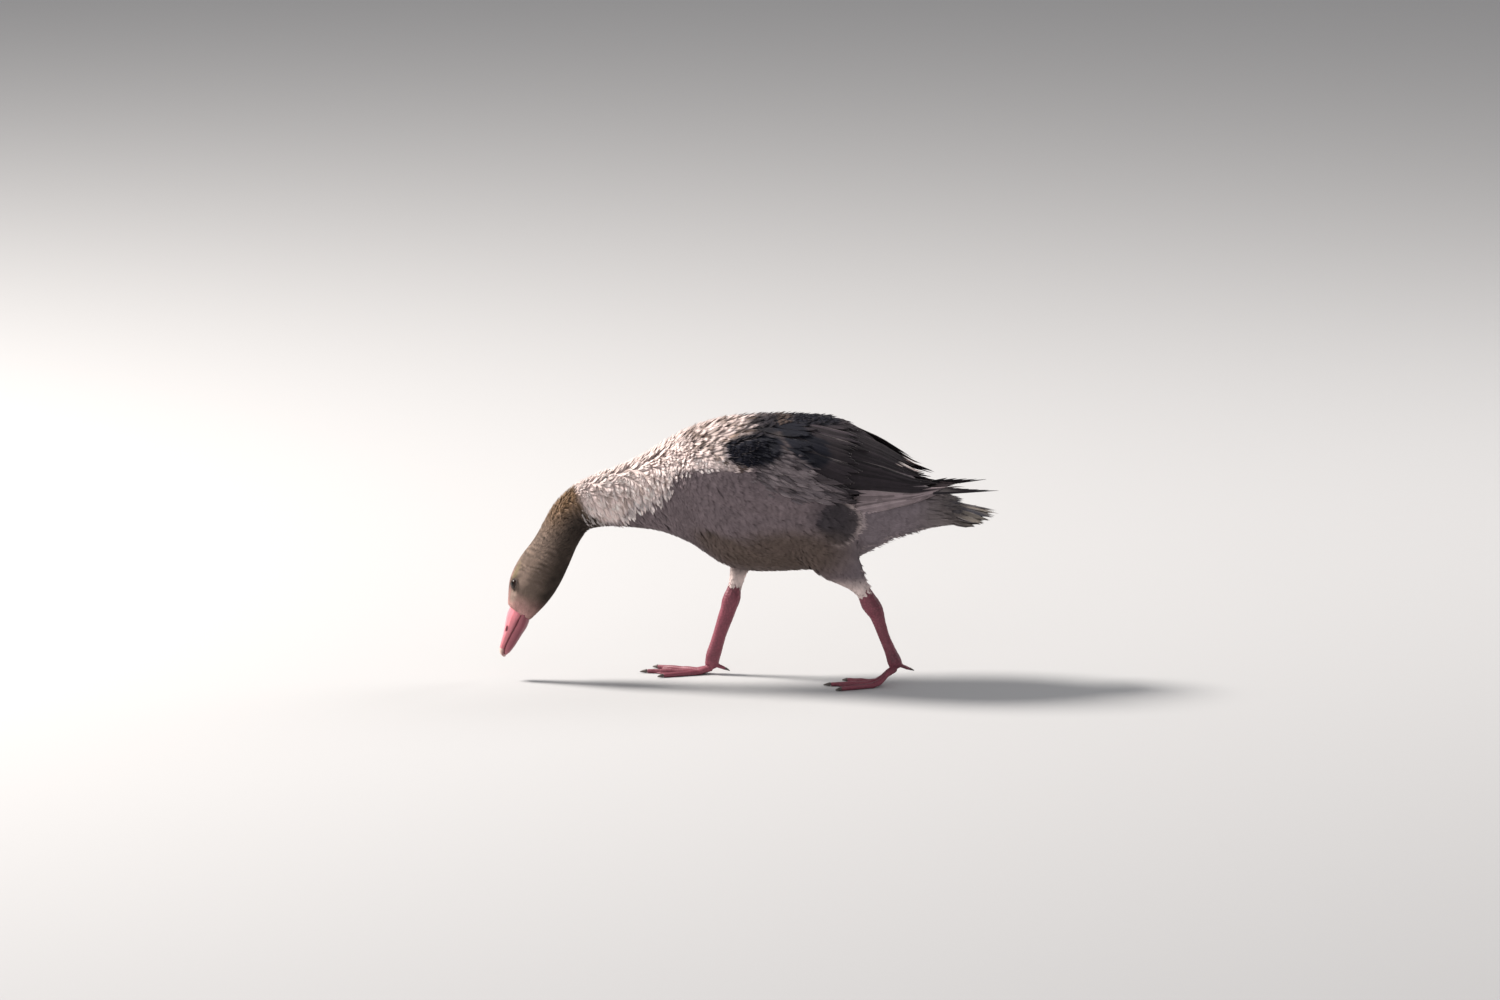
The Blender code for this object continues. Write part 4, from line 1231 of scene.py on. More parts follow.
def shape_lids(points):
    """Opens the skin over each eyeball to an almond, with a rim of lid round it and a fold outside."""
    s = sizes()
    for side in SIDES:
        centre, radius, out, level, crown = EYES[side]
        reach = points - centre
        away = lengths(reach)
        way = unit(reach)
        facing = np.degrees(np.arccos(np.clip(way @ out, -1, 1)))
        turn = np.arctan2(way @ crown, way @ level)
        half_long = math.degrees(math.asin(min(s.eye_opening / radius, 0.99)))
        half_tall = half_long * np.where(turn > 0, LID_OVER, LID_UNDER)
        edge = 1 / np.sqrt((np.cos(turn) / half_long) ** 2 + (np.sin(turn) / half_tall) ** 2)
        near = away < radius + 6 * MM
        rim = radius + s.lid * (0.45 + 0.55 * ease(facing, edge + 1, edge + 7))
        lid = ease(facing, edge + 40, edge + 18) * near
        new = away + (np.maximum(rim, away - 3 * MM * lid) - away) * lid
        fold = bell(facing - edge, LID_FOLD, 4.0) * (facing < 80) * near
        new = np.where(near, np.maximum(new - 0.5 * MM * fold, radius + 0.3 * MM), new)
        new = np.where((facing < edge - LID_RIM) & near, radius - 1.2 * MM, new)
        snapped = (np.abs(facing - edge) <= LID_RIM) & near
        aside = unit(way - out * (way @ out)[:, None])
        on_edge = out * np.cos(np.radians(edge))[:, None] + aside * np.sin(np.radians(edge))[:, None]
        way = np.where(snapped[:, None], on_edge, way)
        points = centre + way * new[:, None]
    return points


def refine_round_eyes(piece, reach, cuts):
    """Cuts the skin finer round the eyes, for the lids."""
    bm = bmesh.new()
    bm.from_mesh(piece.data)
    centres = [Vector(EYES[side][0]) for side in SIDES]
    middles = ((edge, (edge.verts[0].co + edge.verts[1].co) / 2) for edge in bm.edges)
    edges = [edge for edge, middle in middles if min((middle - c).length for c in centres) < reach]
    bmesh.ops.subdivide_edges(bm, edges=edges, cuts=cuts, use_grid_fill=True)
    bmesh.ops.triangulate(bm, faces=[f for f in bm.faces if len(f.verts) > 4])
    near = [v for v in bm.verts if min((v.co - c).length for c in centres) < reach]
    soften_points(bm, near, 0.5, 3)
    bm.to_mesh(piece.data)
    bm.free()


def skin_material():
    """Short down under the feathers, in the colours of the coat."""
    material, tree, bsdf = new_material("bird_skin", Roughness=0.85)
    down = place_group(tree, "mottle", Scale=420.0, Low=0.75, High=1.1)
    base = toned(tree, painted(tree).outputs["Color"], down.outputs["Tone"])
    finish_surface(tree, bsdf, base, down.outputs["Height"], 0.6, 0.0008)
    return material


# How far the flesh of the wings goes back, as a share of the trunk, and how far the thighs' flesh
# goes on inside the bare legs.
WING_FLESH = 0.68
KNEE_LAP = 13 * MM


class GOOSE_OT_skin(bpy.types.Operator):
    """One skin for head, neck, trunk and thighs, inside the solids by the coat's depth"""

    bl_idname = "goose.skin"
    bl_label = "Skin"

    def execute(self, context):
        nodes = ("head", "neck_upper", "neck_lower", "trunk", "thigh_left", "thigh_right")
        bm = merged_nodes(*nodes, "eye_left", "eye_right")
        wing_end = TRUNK_LOW[0] + WING_FLESH * (TRUNK_HIGH[0] - TRUNK_LOW[0])
        backwards = (1, 0, 0)
        add_cut(bm, ("wing_left", "wing_right"), (wing_end, 0, 0), backwards)
        add_cut(bm, ("tail",), (TAIL_SKIN_END, 0, 0), backwards)
        for side, (top, knee) in LEG_LINES.items():
            # The flesh goes on a little way inside the bare leg, so that feathers lap over its top.
            way = unit(knee - top)
            add_cut(bm, (f"shank_{side}",), Vector(knee + way * KNEE_LAP), Vector(way))
        skin = cast("skin", bm, sizes().skin_voxel, 6)
        points, normals = read_points(skin.data)
        move_points(skin, points - normals * coat_depth(points)[:, None])
        refine_round_eyes(skin, LID_REACH, 5)
        points, _ = read_points(skin.data)
        points = shape_lids(points)
        move_points(skin, points)
        skin.data.shade_smooth()
        colour = plumage(points) * 0.75
        under_wing = on_wing(points) * ease(points[:, 0], 0.02, 0.05)
        colour = mix(colour, rgb("tertial"), under_wing)
        colour = mix(colour, rgb("eye_ring"), self.lid_share(points))
        paint(skin.data, "plumage", with_alpha(colour, 0.0))
        dress(skin, skin_material(), "plumage_pale", *nodes)
        return {"FINISHED"}

    @staticmethod
    def lid_share(points):
        """How far each point lies on an eyelid."""
        share = np.zeros(len(points))
        for side in SIDES:
            centre, radius, _, _, _ = EYES[side]
            away = lengths(points - centre)
            share = np.maximum(share, ease(away, radius + 1.5 * MM, radius + 0.8 * MM))
        return share


# ---- bare parts


def bill_axes():
    """Root, forward, up and side directions of the bill."""
    root = centre_between("head", "bill_lower", 5 * MM)
    forward = unit(box_centre("bill_nail") - box_centre("bill_upper"))
    low, high = (node_points("bill_lower").mean(0), node_points("bill_upper").mean(0))
    up = high - low
    up = unit(up - forward * (up @ forward))
    return root, forward, up, np.cross(forward, up)


# The bill's comb-like teeth, its mouth lining from root to tip, and its nostrils: how far along and how
# high they are, and their half sizes.
TOOTH = 1.3 * MM
LINING_START, LINING_LENGTH = -4 * MM, 55 * MM
NOSTRIL_ALONG, NOSTRIL_HEIGHT = 19.8 * MM, 15.6 * MM
NOSTRIL_LONG, NOSTRIL_TALL = 5.2 * MM, 2.6 * MM


class GOOSE_OT_bill(bpy.types.Operator):
    """The bill in three pieces, with nostrils, toothed edges and a nail"""

    bl_idname = "goose.bill"
    bl_label = "Bill"

    def execute(self, context):
        pink = bare_material("bill_skin", "bill", "bill_shade", 420.0, 0.02, 0.40, 0.03, 0.25, 0.06)
        horn = bare_material("nail_horn", "nail", "bill_shade", 300.0, 0.03, 0.35, 0.05, 0.3, 0.06)
        root, forward, up, side = bill_axes()
        for node, material, slot in (
            ("bill_upper", pink, "bill_pink"),
            ("bill_lower", pink, "bill_pink"),
            ("bill_nail", horn, "nail_horn"),
        ):
            piece = cast(f"{node}_horn", merged_nodes(node), sizes().bill_voxel, 5)
            points, normals = read_points(piece.data)
            along, height = (points - root) @ forward, (points - root) @ up
            away = np.abs(height - self.mouth_height(along))
            line = (1.5 + 1.9 * ease(along, 0.034, 0.006)) * MM
            near_mouth = bell(away, 0, line) * ease(along, -0.002, 0.006)
            out = np.abs((points - root) @ side)
            teeth = np.sin(along / TOOTH * math.pi) * near_mouth * ease(out, 3 * MM, 6 * MM)
            points = points + normals * (0.10 * MM * teeth)[:, None]
            if node == "bill_nail":
                root_end = ease(along, along.min() + 2 * MM, along.min())
                points = points - forward * (1.6 * MM * root_end)[:, None]
            else:
                back = ease(along, 3 * MM, -1 * MM)
                points = points - forward * (5 * MM * back)[:, None]
                points = points - up * (0.8 * MM * back * np.sign(height))[:, None]
            move_points(piece, points)
            piece.data.shade_smooth()
            shade = 0.80 * near_mouth
            # Painted shade: the lower bill darkens away from the mouth line, and the upper bill towards its
            # lower edge and in its nostrils, which leaves its ridge lit.
            if node == "bill_lower":
                shade = np.maximum(shade, 0.66 + 0.28 * ease(away, 1 * MM, 7 * MM))
            elif node == "bill_upper":
                lower_edge = 0.34 * ease(away, 10 * MM, 2 * MM)
                shade = np.maximum(shade, lower_edge + self.nostril_shade(along, height))
            shade_mask(piece, shade)
            dress(piece, material, slot, node)
        self.mouth(root, forward, up, side)
        return {"FINISHED"}

    @classmethod
    def mouth(cls, root, forward, up, side):
        """The dark inside of the mouth, which closes the slit between the two halves."""
        bm = bmesh.new()
        bmesh.ops.create_grid(bm, x_segments=4, y_segments=24, size=0.5)
        bmesh.ops.solidify(bm, geom=bm.faces[:], thickness=0.2)
        points = np.array([v.co[:] for v in bm.verts])
        along = LINING_START + (points[:, 1] + 0.5) * LINING_LENGTH
        low, high = (cls.reach("bill_lower", along, side, pick) for pick in (np.min, np.max))
        half = np.maximum((high - low) / 2 - 1.6 * MM, 0.5 * MM)
        across = (low + high) / 2 + 2 * half * points[:, 0]
        height = cls.mouth_height(along) + np.where(points[:, 2] > points[:, 2].mean(), 1.5, -1.5) * MM
        for vertex, a, b, c in zip(bm.verts, along, height, across):
            vertex.co = Vector(root + forward * a + up * b + side * c)
        bmesh.ops.recalc_face_normals(bm, faces=bm.faces)
        piece = piece_from("bill_mouth", bm)
        inside = bare_material("mouth_lining", "bill_shade", "brow_dark", 900.0, 0.2, 0.5, 0.2)
        shade_mask(piece, 0.35 + 0.3 * np.sin(along / TOOTH * math.pi))
        dress(piece, inside, "bill_pink")

    @staticmethod
    def reach(node, along, axis, pick):
        """How far a half of the bill reaches along an axis, read at nine places from root to tip."""
        root, forward, _, _ = bill_axes()
        points = node_points(node) - root
        run, rise = points @ forward, points @ axis
        steps = np.linspace(run.min() + 2 * MM, run.max() - 2 * MM, 9)
        return np.interp(along, steps, [pick(rise[np.abs(run - step) < 5 * MM]) for step in steps])

    @classmethod
    def mouth_height(cls, along):
        """The mouth line over the bill's axis, half way between the two halves."""
        up = bill_axes()[2]
        return (cls.reach("bill_upper", along, up, np.min) + cls.reach("bill_lower", along, up, np.max)) / 2

    # Painted shade in the hollows of the nostrils.
    @staticmethod
    def nostril_shade(along, height):
        run, rise = (along - NOSTRIL_ALONG) / NOSTRIL_LONG, (height - NOSTRIL_HEIGHT) / NOSTRIL_TALL
        return 0.85 * ease(np.sqrt(run**2 + rise**2), 1.1, 0.5)


# Dark rings of the eyeball, each fading in between two angles in degrees from the way the eye looks.
PUPIL = (19, 15)
IRIS_RIM = (33, 40)
PUPIL_BLACK = (0.002, 0.002, 0.002)


class GOOSE_OT_eyes(bpy.types.Operator):
    """Two dark brown eyes with a pupil and a wet cornea"""

    bl_idname = "goose.eyes"
    bl_label = "Eyes"

    def execute(self, context):
        material = self.material()
        for side in SIDES:
            centre, radius, out, _, _ = EYES[side]
            bm = bmesh.new()
            bmesh.ops.create_uvsphere(bm, u_segments=40, v_segments=28, radius=radius)
            turn = Vector((0, 0, 1)).rotation_difference(Vector(out)).to_matrix().to_4x4()
            for vertex in bm.verts:
                facing = vertex.co.z / radius
                vertex.co *= 1 + 0.06 * float(ease(facing, 0.72, 0.95))
            bmesh.ops.transform(bm, matrix=turn, verts=bm.verts)
            bmesh.ops.translate(bm, vec=Vector(centre), verts=bm.verts)
            piece = piece_from(f"eyeball_{side}", bm)
            piece.data.shade_smooth()
            points, _ = read_points(piece.data)
            way = unit(points - centre)
            facing = np.degrees(np.arccos(np.clip(way @ out, -1, 1)))
            shade_mask(piece, np.maximum(ease(facing, *PUPIL), 0.8 * ease(facing, *IRIS_RIM)))
            dress(piece, material, "eye_brown", f"eye_{side}")
        return {"FINISHED"}

    @staticmethod
    def material():
        material, tree, bsdf = new_material("goose_eye", Roughness=0.3, Coat_Weight=0.30, Coat_Roughness=0.03)
        bsdf.inputs["Specular IOR Level"].default_value = 0.1
        mask = shader(tree, "ShaderNodeAttribute", attribute_name="shade")
        place = tree.nodes.new("ShaderNodeTexCoord")
        threads = shader(tree, "ShaderNodeTexNoise", Scale=900.0, Detail=3.0)
        tree.links.new(place.outputs["Object"], threads.inputs["Vector"])
        iris = blended(tree, "MIX", threads.outputs[0], rgb("iris") * 0.4, rgb("iris") * 1.2)
        base = blended(tree, "MIX", mask.outputs["Fac"], iris, PUPIL_BLACK)
        finish_surface(tree, bsdf, base)
        return material


# Sizes of the leg's skin: cells, bands down the shin and along the toes, web creases and the web's top.
CELL = 3.0 * MM
SHIN_BAND = 3.6 * MM
TOE_BAND = 3.0 * MM
WEB_CREASE = 2.4 * MM
WEB_TOP = 9 * MM


def cell_relief(points, size, seed):
    """Rounded scales: 0 in the creases between cells about size across, 1 on their middles."""
    result = []
    for point in points:
        place = Vector(point) / size + Vector((seed, seed, seed))
        near, next_near = noise.voronoi(place, distance_metric="DISTANCE")[0][:2]
        result.append(next_near - near)
    return ease(np.array(result), 0.0, 0.35)


class GOOSE_OT_legs(bpy.types.Operator):
    """Bare shanks, toes and webs with scales, and the claws"""

    bl_idname = "goose.legs"
    bl_label = "Legs and feet"

    def execute(self, context):
        pink = bare_material("leg_skin", "leg", "leg_shade", 620.0, 0.14, 0.5, 0.35, 0.1)
        horn = bare_material("claw_horn", "claw", "claw", 500.0, 0.02, 0.38, 0.08, 0.2)
        s = sizes()
        for side in SIDES:
            nodes = (f"shank_{side}", f"foot_{side}")
            piece = cast(f"leg_skin_{side}", merged_nodes(*nodes), s.leg_voxel, 3)
            points, normals = read_points(piece.data)
            knee = LEG_LINES[side][1]
            scales = cell_relief(points, CELL, 3.0)
            bands = self.front_bands(points, side)
            webbed = ease(points[:, 2], WEB_TOP, 4 * MM) * ease(np.abs(normals[:, 2]), 0.7, 0.95)
            relief = (scales * (1 - bands[1]) + bands[0] * bands[1]) * (1 - 0.75 * webbed)
            creases = np.sin(points[:, 0] / WEB_CREASE + 4 * grain(points, 8 * MM, 5)) * webbed
            sole = ease(points[:, 2], 0.2 * MM, 1.0 * MM)
            height = ((relief - 0.6) * s.scute + 0.09 * MM * creases) * sole + self.build(points, side)
            points = points + normals * height[:, None]
            points[:, 2] = np.maximum(points[:, 2], FLOOR_Z)
            move_points(piece, points)
            piece.data.shade_smooth()
            joint = np.array(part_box(f"foot_{side}")[1])
            # Painted shade in the creases between scales and at the top of the shank under the body, with
            # darker webs and a dark foot joint.
            shade = 0.55 * (1 - relief) * sole + 0.3 * ease(points[:, 2], knee[2] - 0.045, knee[2] - 0.005)
            shade = shade + 0.25 * webbed + 0.25 * ease(np.abs(points[:, 2] - joint[2]), 0.012, 0.0)
            # Painted shade down the rear side of the shank, above the foot.
            behind = ease((points - knee)[:, 0] + 0.32 * (points - knee)[:, 2], 0.0, 0.012)
            shade_mask(piece, shade * 0.8 + 0.30 * behind * ease(points[:, 2], 0.012, 0.030))
            dress(piece, pink, "leg_pink", *nodes)
            self.claws(side, horn)
        return {"FINISHED"}

    @staticmethod
    def build(points, side):
        """Slimmer under the feathers, a knob at the joint, and a sturdy shank on the forward leg."""
        knee = LEG_LINES[side][1]
        below = knee[2] - points[:, 2]
        shape = 0.9 * bell(below, 0.025, 0.008) - 1.2 * bell(below, 0.006, 0.009)
        if knee[0] < LEG_LINES["left" if side == "right" else "right"][1][0]:
            shape = shape + 1.6 * ease(below, 0.026, 0.042) * ease(points[:, 2], 0.016, 0.030)
        return shape * MM

    @staticmethod
    def front_bands(points, side):
        """Wide scutes down the front of the shank and along the toes: their relief, and where."""
        low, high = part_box(f"shank_{side}")
        share = np.clip((points[:, 2] - low.z) / (high.z - low.z), 0, 1)
        bottom = centre_between(f"shank_{side}", f"foot_{side}")
        middle = bottom[0] + (LEG_LINES[side][1][0] - bottom[0]) * share
        front = ease(points[:, 0] - middle, -2 * MM, -6 * MM) * ease(points[:, 2], low.z, low.z + 5 * MM)
        wave = np.abs(np.sin(points[:, 2] / SHIN_BAND * math.pi))
        foot_low, foot_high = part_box(f"foot_{side}")
        toes = ease(points[:, 2], 12 * MM, 8 * MM) * ease(points[:, 2], 2.6 * MM, 4.2 * MM)
        toe_root = np.array((bottom[0], (foot_low.y + foot_high.y) / 2))
        along = lengths(points[:, :2] - toe_root)
        toe_wave = np.abs(np.sin(along / TOE_BAND * math.pi))
        where = np.maximum(front, toes)
        relief = np.where(toes > front, toe_wave, wave)
        return ease(relief, 0.0, 0.55), where

    @staticmethod
    def claws(side, material):
        names = [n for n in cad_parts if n.startswith("claw_") and n.endswith(side)]
        bm = merged_nodes(*names)
        bmesh.ops.subdivide_edges(bm, edges=bm.edges[:], cuts=1, use_grid_fill=True, smooth=0.6)
        soften_points(bm, bm.verts, 0.3, 2)
        piece = piece_from(f"claws_{side}", bm)
        piece.data.shade_smooth()
        shade_mask(piece, np.zeros(len(piece.data.vertices)))
        dress(piece, material, "claw_horn", *names)


# ---- coats


def along_share(points, start, end, soft=0.006):
    """1 between two distances along the spine, with edges soft metres wide."""
    along, _ = SPINE.measure(points)
    return ease(along, start - soft, start + soft) * ease(along, end + soft, end - soft)


def off_thighs(points):
    """1 everywhere but on the thighs."""
    return 1 - (thigh_share(points)[0] > 0.55)


def away_from_eyes(points, reach):
    """0 in an oval round each eye that reaches so far up and down, and 1 elsewhere."""
    keep = np.ones(len(points))
    for side in SIDES:
        centre, _, out, level, crown = EYES[side]
        arm = points - centre
        near = np.sqrt((arm @ level / (reach * 1.22)) ** 2 + (arm @ crown / reach) ** 2)
        keep *= (near > 1) | (arm @ out < 0)
    return keep


class GOOSE_OT_head_coat(bpy.types.Operator):
    """Short feathers of the head"""

    bl_idname = "goose.head_coat"
    bl_label = "Head coat"

    def execute(self, context):
        def wanted(points):
            share = along_share(points, AT["face"] - 0.03, AT["nape"] + 0.004)
            return share * away_from_eyes(points, 5.7 * MM)

        def size(points):
            along, _ = SPINE.measure(points)
            near_eye = 1 - 0.25 * (1 - away_from_eyes(points, 13 * MM))
            return (0.68 + 0.55 * ease(along, AT["face"], AT["nape"] + 0.01)) * near_eye

        def ruffle(points):
            """The crown's short feathers stand up a little, the rest lie flat."""
            along, turn = SPINE.measure(points)
            crown = bell(along - AT["face"], 0.068, 0.018) * ease(turn, 1.2, 0.5)
            return 1 + 45 * crown

        coat = lay_coat("head_coat", "head", wanted, size, rough=ruffle)
        dress(coat, bpy.data.materials["soft_feathers"], "plumage_brown")
        return {"FINISHED"}


# Whites of the tufts along the cream's lower edge.
DULL_WHITE = (0.88, 0.79, 0.77)
WHITE = (0.90, 0.82, 0.80)


class GOOSE_OT_neck_coat(bpy.types.Operator):
    """Rippled feathers of the brown upper neck and furrowed tufts of the pale lower neck"""

    bl_idname = "goose.neck_coat"
    bl_label = "Neck coat"

    def execute(self, context):
        def upper(points):
            return along_share(points, AT["nape"] - 0.003, AT["pale"] + 0.004)

        def lower(points):
            return along_share(points, AT["pale"] - 0.001, AT["crop"] + 0.035, 0.012)

        def grow(points):
            along, turn = SPINE.measure(points)
            low = ease(turn, 1.9, 2.5)
            return 0.70 + 0.42 * ease(along, AT["pale"], AT["crop"]) + 0.10 * low

        def above(points):
            return points[:, 2] - cream_edge(points[:, 0])

        def fluff(points):
            """Tufts stand out where the neck is cream, most along its lower edge, and lie flat below."""
            height = above(points)
            return 0.10 + 0.90 * ease(height, -0.004, 0.004) + 0.9 * bell(height, 0.008, 0.008)

        def tint(points, base, random):
            """Some tufts near the cream's lower edge are white, others show brown between them."""
            height = above(points)
            near = bell(height, 0.008, 0.010)
            pick = random.random(len(points))
            base = mix(base, rgb("mantle_brown") * 1.6, ((pick > 0.84) & (height > 0.004)) * 0.55)
            return mix(base, DULL_WHITE, (pick < 0.10 + 0.45 * near) * 0.6 * (height > -0.001))

        def hanging(points):
            """A band of larger tufts that hang over the cream's lower edge."""
            x = points[:, 0]
            band = (np.abs(above(points) - 0.007) < 0.007) * (x > -0.168) * (x < -0.030)
            return band * (grain(points, 18 * MM, 8) > -0.35 + 0.30 * ease(x, -0.100, -0.080))

        def flatter(points):
            """They lie flatter over the shoulder than along the neck."""
            return 1 - 0.70 * ease(points[:, 0], -0.104, -0.084)

        def white(points, base, random):
            return mix(rgb("cream"), WHITE, 0.25 + 0.75 * random.random(len(points)))

        def ruffle(points):
            _, turn = SPINE.measure(points)
            return 0.10 + 1.0 * ease(turn, 2.0, 1.2)

        brown = lay_coat("neck_coat_brown", "neck_upper", upper, rough=ruffle)
        pale = lay_coat("neck_coat_pale", "neck_lower", lower, grow, tint, fluff)
        tufts = lay_coat("neck_tufts", "tufts", hanging, tint=white, rough=flatter)
        for piece, slot in ((brown, "plumage_brown"), (pale, "plumage_pale"), (tufts, "plumage_pale")):
            dress(piece, bpy.data.materials["soft_feathers"], slot)
        return {"FINISHED"}


def covert_edge(x):
    """How high the wing coverts end over the flank: high at the shoulder, low over the thigh."""
    return MIDDLE_Z + np.interp(x, (-0.030, 0.035, 0.075, 0.130), (0.036, 0.011, -0.003, -0.006))


def on_wing(points):
    """1 over the part of the side that wing feathers cover."""
    x, y, z = points.T
    start = -0.006 + 0.25 * np.maximum(z - MIDDLE_Z - 0.060, 0)
    inner = 19 * MM + 11 * MM * ease(x, 0.12, 0.03)
    return (x > start) * (x < 0.158) * (z > covert_edge(x) + 0.006) * (np.abs(y) > inner)


def mantle_zone(points):
    """1 over the back between the wings."""
    x, _, z = points.T
    top = MIDDLE_Z + 0.040 + 0.30 * np.maximum(-0.03 - x, 0)
    return (z > top) * (x < 0.085) * (1 - on_wing(points))


class GOOSE_OT_body_coat(bpy.types.Operator):
    """Breast, flanks, belly, vent and mantle"""

    bl_idname = "goose.body_coat"
    bl_label = "Body coat"

    def execute(self, context):
        keel = AT["keel"]

        def plain(points):
            """Where the body has neither thigh nor mantle nor wing over it."""
            return off_thighs(points) * (1 - mantle_zone(points)) * (1 - on_wing(points))

        def breast(points):
            return along_share(points, AT["crop"] + 0.018, keel - 0.035, 0.012) * plain(points)

        def breast_size(points):
            along, _ = SPINE.measure(points)
            return 0.72 + 0.34 * ease(along, AT["crop"], AT["crop"] + 0.07)

        def rear(points):
            return along_share(points, keel - 0.040, AT["rump"] - 0.018, 0.012) * plain(points)

        def rear_size(points):
            along, turn = SPINE.measure(points)
            return 1.0 - 0.16 * ease(along, keel + 0.14, AT["rump"]) - 0.14 * ease(turn, 2.2, 3.0)

        def mantle(points):
            return mantle_zone(points) * along_share(points, AT["crop"] + 0.016, AT["rump"], 0.014)

        def mantle_tint(points, base, random):
            """Pale, brown and plain feathers side by side, except in the slate patches."""
            pick = random.random(len(points)) + 0.5 * ease(points[:, 0], 0.000, 0.028)
            pale = mix(base, rgb("cream"), 0.75)
            dark = mix(base, rgb("mantle_brown"), 0.75)
            chosen = np.where((pick < 0.48)[:, None], pale, np.where((pick < 0.78)[:, None], dark, base))
            return np.where((base.mean(1) < 0.09)[:, None], base, chosen)

        def body_tint(points, base, random):
            return base * varied(random, (len(points), 1), 0.03)

        def tail_zone(points):
            return along_share(points, AT["rump"] - 0.024, AT["tail"] + 0.02)

        def ragged_below(points):
            """Vent feathers hang ragged, and those of the breast lie smooth."""
            along, turn = SPINE.measure(points)
            return 0.7 + 2.2 * ease(along, keel + 0.10, keel + 0.15) * ease(turn, 1.6, 2.6)

        def hem(points):
            """Where the vent's lower feathers hang loose, in clumps."""
            _, turn = SPINE.measure(points)
            low = (turn > 2.3) * (points[:, 0] > 0.130) * (points[:, 0] < 0.212)
            return low * (grain(points, 13 * MM, 9) > 0.05)

        def hem_tint(points, base, random):
            return mix(base, rgb("cream"), 0.22 * random.random(len(points)))

        def thigh_zone(points):
            """The thighs down to just above the feather line."""
            share = thigh_share(points)[0] > 0.45
            for top, knee in LEG_LINES.values():
                way = unit(knee - top)
                near = lengths(points - knee) < 30 * MM
                share = share & ~(near & ((points - knee) @ way > -1.5 * MM))
            return share * 1.0

        def tail_size(points):
            """Longer feathers under the tail than over it."""
            _, turn = SPINE.measure(points)
            return 0.72 + 0.95 * ease(turn, 1.2, 2.5)

        def tail_tint(points, base, random):
            """Streaks towards the tail's end: dark grey on top, olive below."""
            top = ease(points[:, 2], tail_end()[2] - 0.010, tail_end()[2] + 0.014)
            dark = np.clip(0.85 * top - 0.05 + 0.40 * random.standard_normal(len(points)), 0, 1)
            streak = mix(rgb("tail_olive") * 1.1, rgb("tail_grey"), dark)
            rear = ease(points[:, 0], 0.212, 0.242) * (0.60 + 0.40 * top)
            return mix(base, streak, rear)

        pieces = (
            lay_coat("breast_coat", "breast", breast, breast_size, body_tint),
            lay_coat("flank_coat", "flank", rear, rear_size, body_tint, ragged_below),
            lay_coat("mantle_coat", "mantle", mantle, tint=mantle_tint),
            lay_coat("thigh_coat", "thigh", thigh_zone),
            lay_coat("vent_tufts", "hem", hem, tint=hem_tint),
            lay_coat("tail_coverts", "tail_coverts", tail_zone, tail_size, tail_tint, straight=True),
        )
        for piece in pieces:
            dress(piece, bpy.data.materials["soft_feathers"], "plumage_pale")
        return {"FINISHED"}


# ---- wing and tail

# Rows of wing feathers, each from a first to a last place: x along the bird, turn in degrees from the
# outermost line towards the back, and heading in degrees down from straight back. Lengths, widths and
# lifts in millimetres, bow in radians of upward bend. A row without a colour takes the coverts'.
Row = namedtuple("Row", "x turn count heading length width lift bow colour fringe")
FLIGHT_ROWS = {
    "secondaries": Row(
        (0.121, 0.134), (-12, 13), 12, (-6, 1), (118, 118), 15, (-5.2, -4.2), 0.05, "secondary", 0.25
    ),
    "tertials": Row(
        (0.100, 0.074), (16, 80), 27, (7, 17), (134, 118), 11, (-3.6, -1.8), 0.09, "tertial", 0.95
    ),
    "scapulars": Row((0.062, 0.044), (22, 86), 25, (33, 17), (76, 86), 10, (-2.2, -0.8), 0.12, "", 0.80),
    "upper_scapulars": Row(
        (0.024, 0.006), (32, 88), 22, (36, 14), (58, 68), 9.5, (-1.2, -0.2), 0.10, "", 0.50
    ),
}

# The mean radius of the folded wing's form, the number, width and upward bend of the primaries, the
# width of the tail's feathers, and the coverts' full size, gap and bow.
WING_RADIUS = 0.09
PRIMARIES = 5
PRIMARY_WIDTH = 3.6 * MM
PRIMARY_BEND = 2 * MM
TAIL_WIDTH = 10.5 * MM
COVERT_LENGTH = 50 * MM
COVERT_WIDTH = 5.8 * MM
COVERT_GAP = 4.3 * MM
COVERT_BOW = 0.12


def scattered_turns(form, random, x_range, turn_range, gap):
    """Places over the wing's form, no nearer to each other than gap, as x and turn in radians."""
    span = math.radians(turn_range[1] - turn_range[0])
    count = int(CANDIDATES * (x_range[1] - x_range[0]) * span * WING_RADIUS / gap**2)
    x = random.uniform(*x_range, count)
    turn = np.radians(random.uniform(*turn_range, count))
    keep = spaced(form.point(x, turn), np.full(count, gap))
    return x[keep], turn[keep]


def covert_heading(points, random):
    """Coverts hang steeply at the front of the wing and run straighter back towards its end."""
    x, _, z = points.T
    height = ease(z, MIDDLE_Z - 0.01, BACK_Z)
    front = ease(x, 0.13, -0.03)
    heading = np.radians(20 + 8 * height + 20 * front * (1 - 0.6 * height))
    return heading + np.radians(3.2) * random.standard_normal(len(points))


def slate_share(points):
    """How far each point lies in the slate patches of shoulder and back."""
    share = np.zeros(len(points))
    for patch in PATCHES:
        if patch.colour == "slate" and patch.z > 0:
            share = np.maximum(share, ellipse(beside(points), points[:, 2], patch) * patch.strength)
    return share


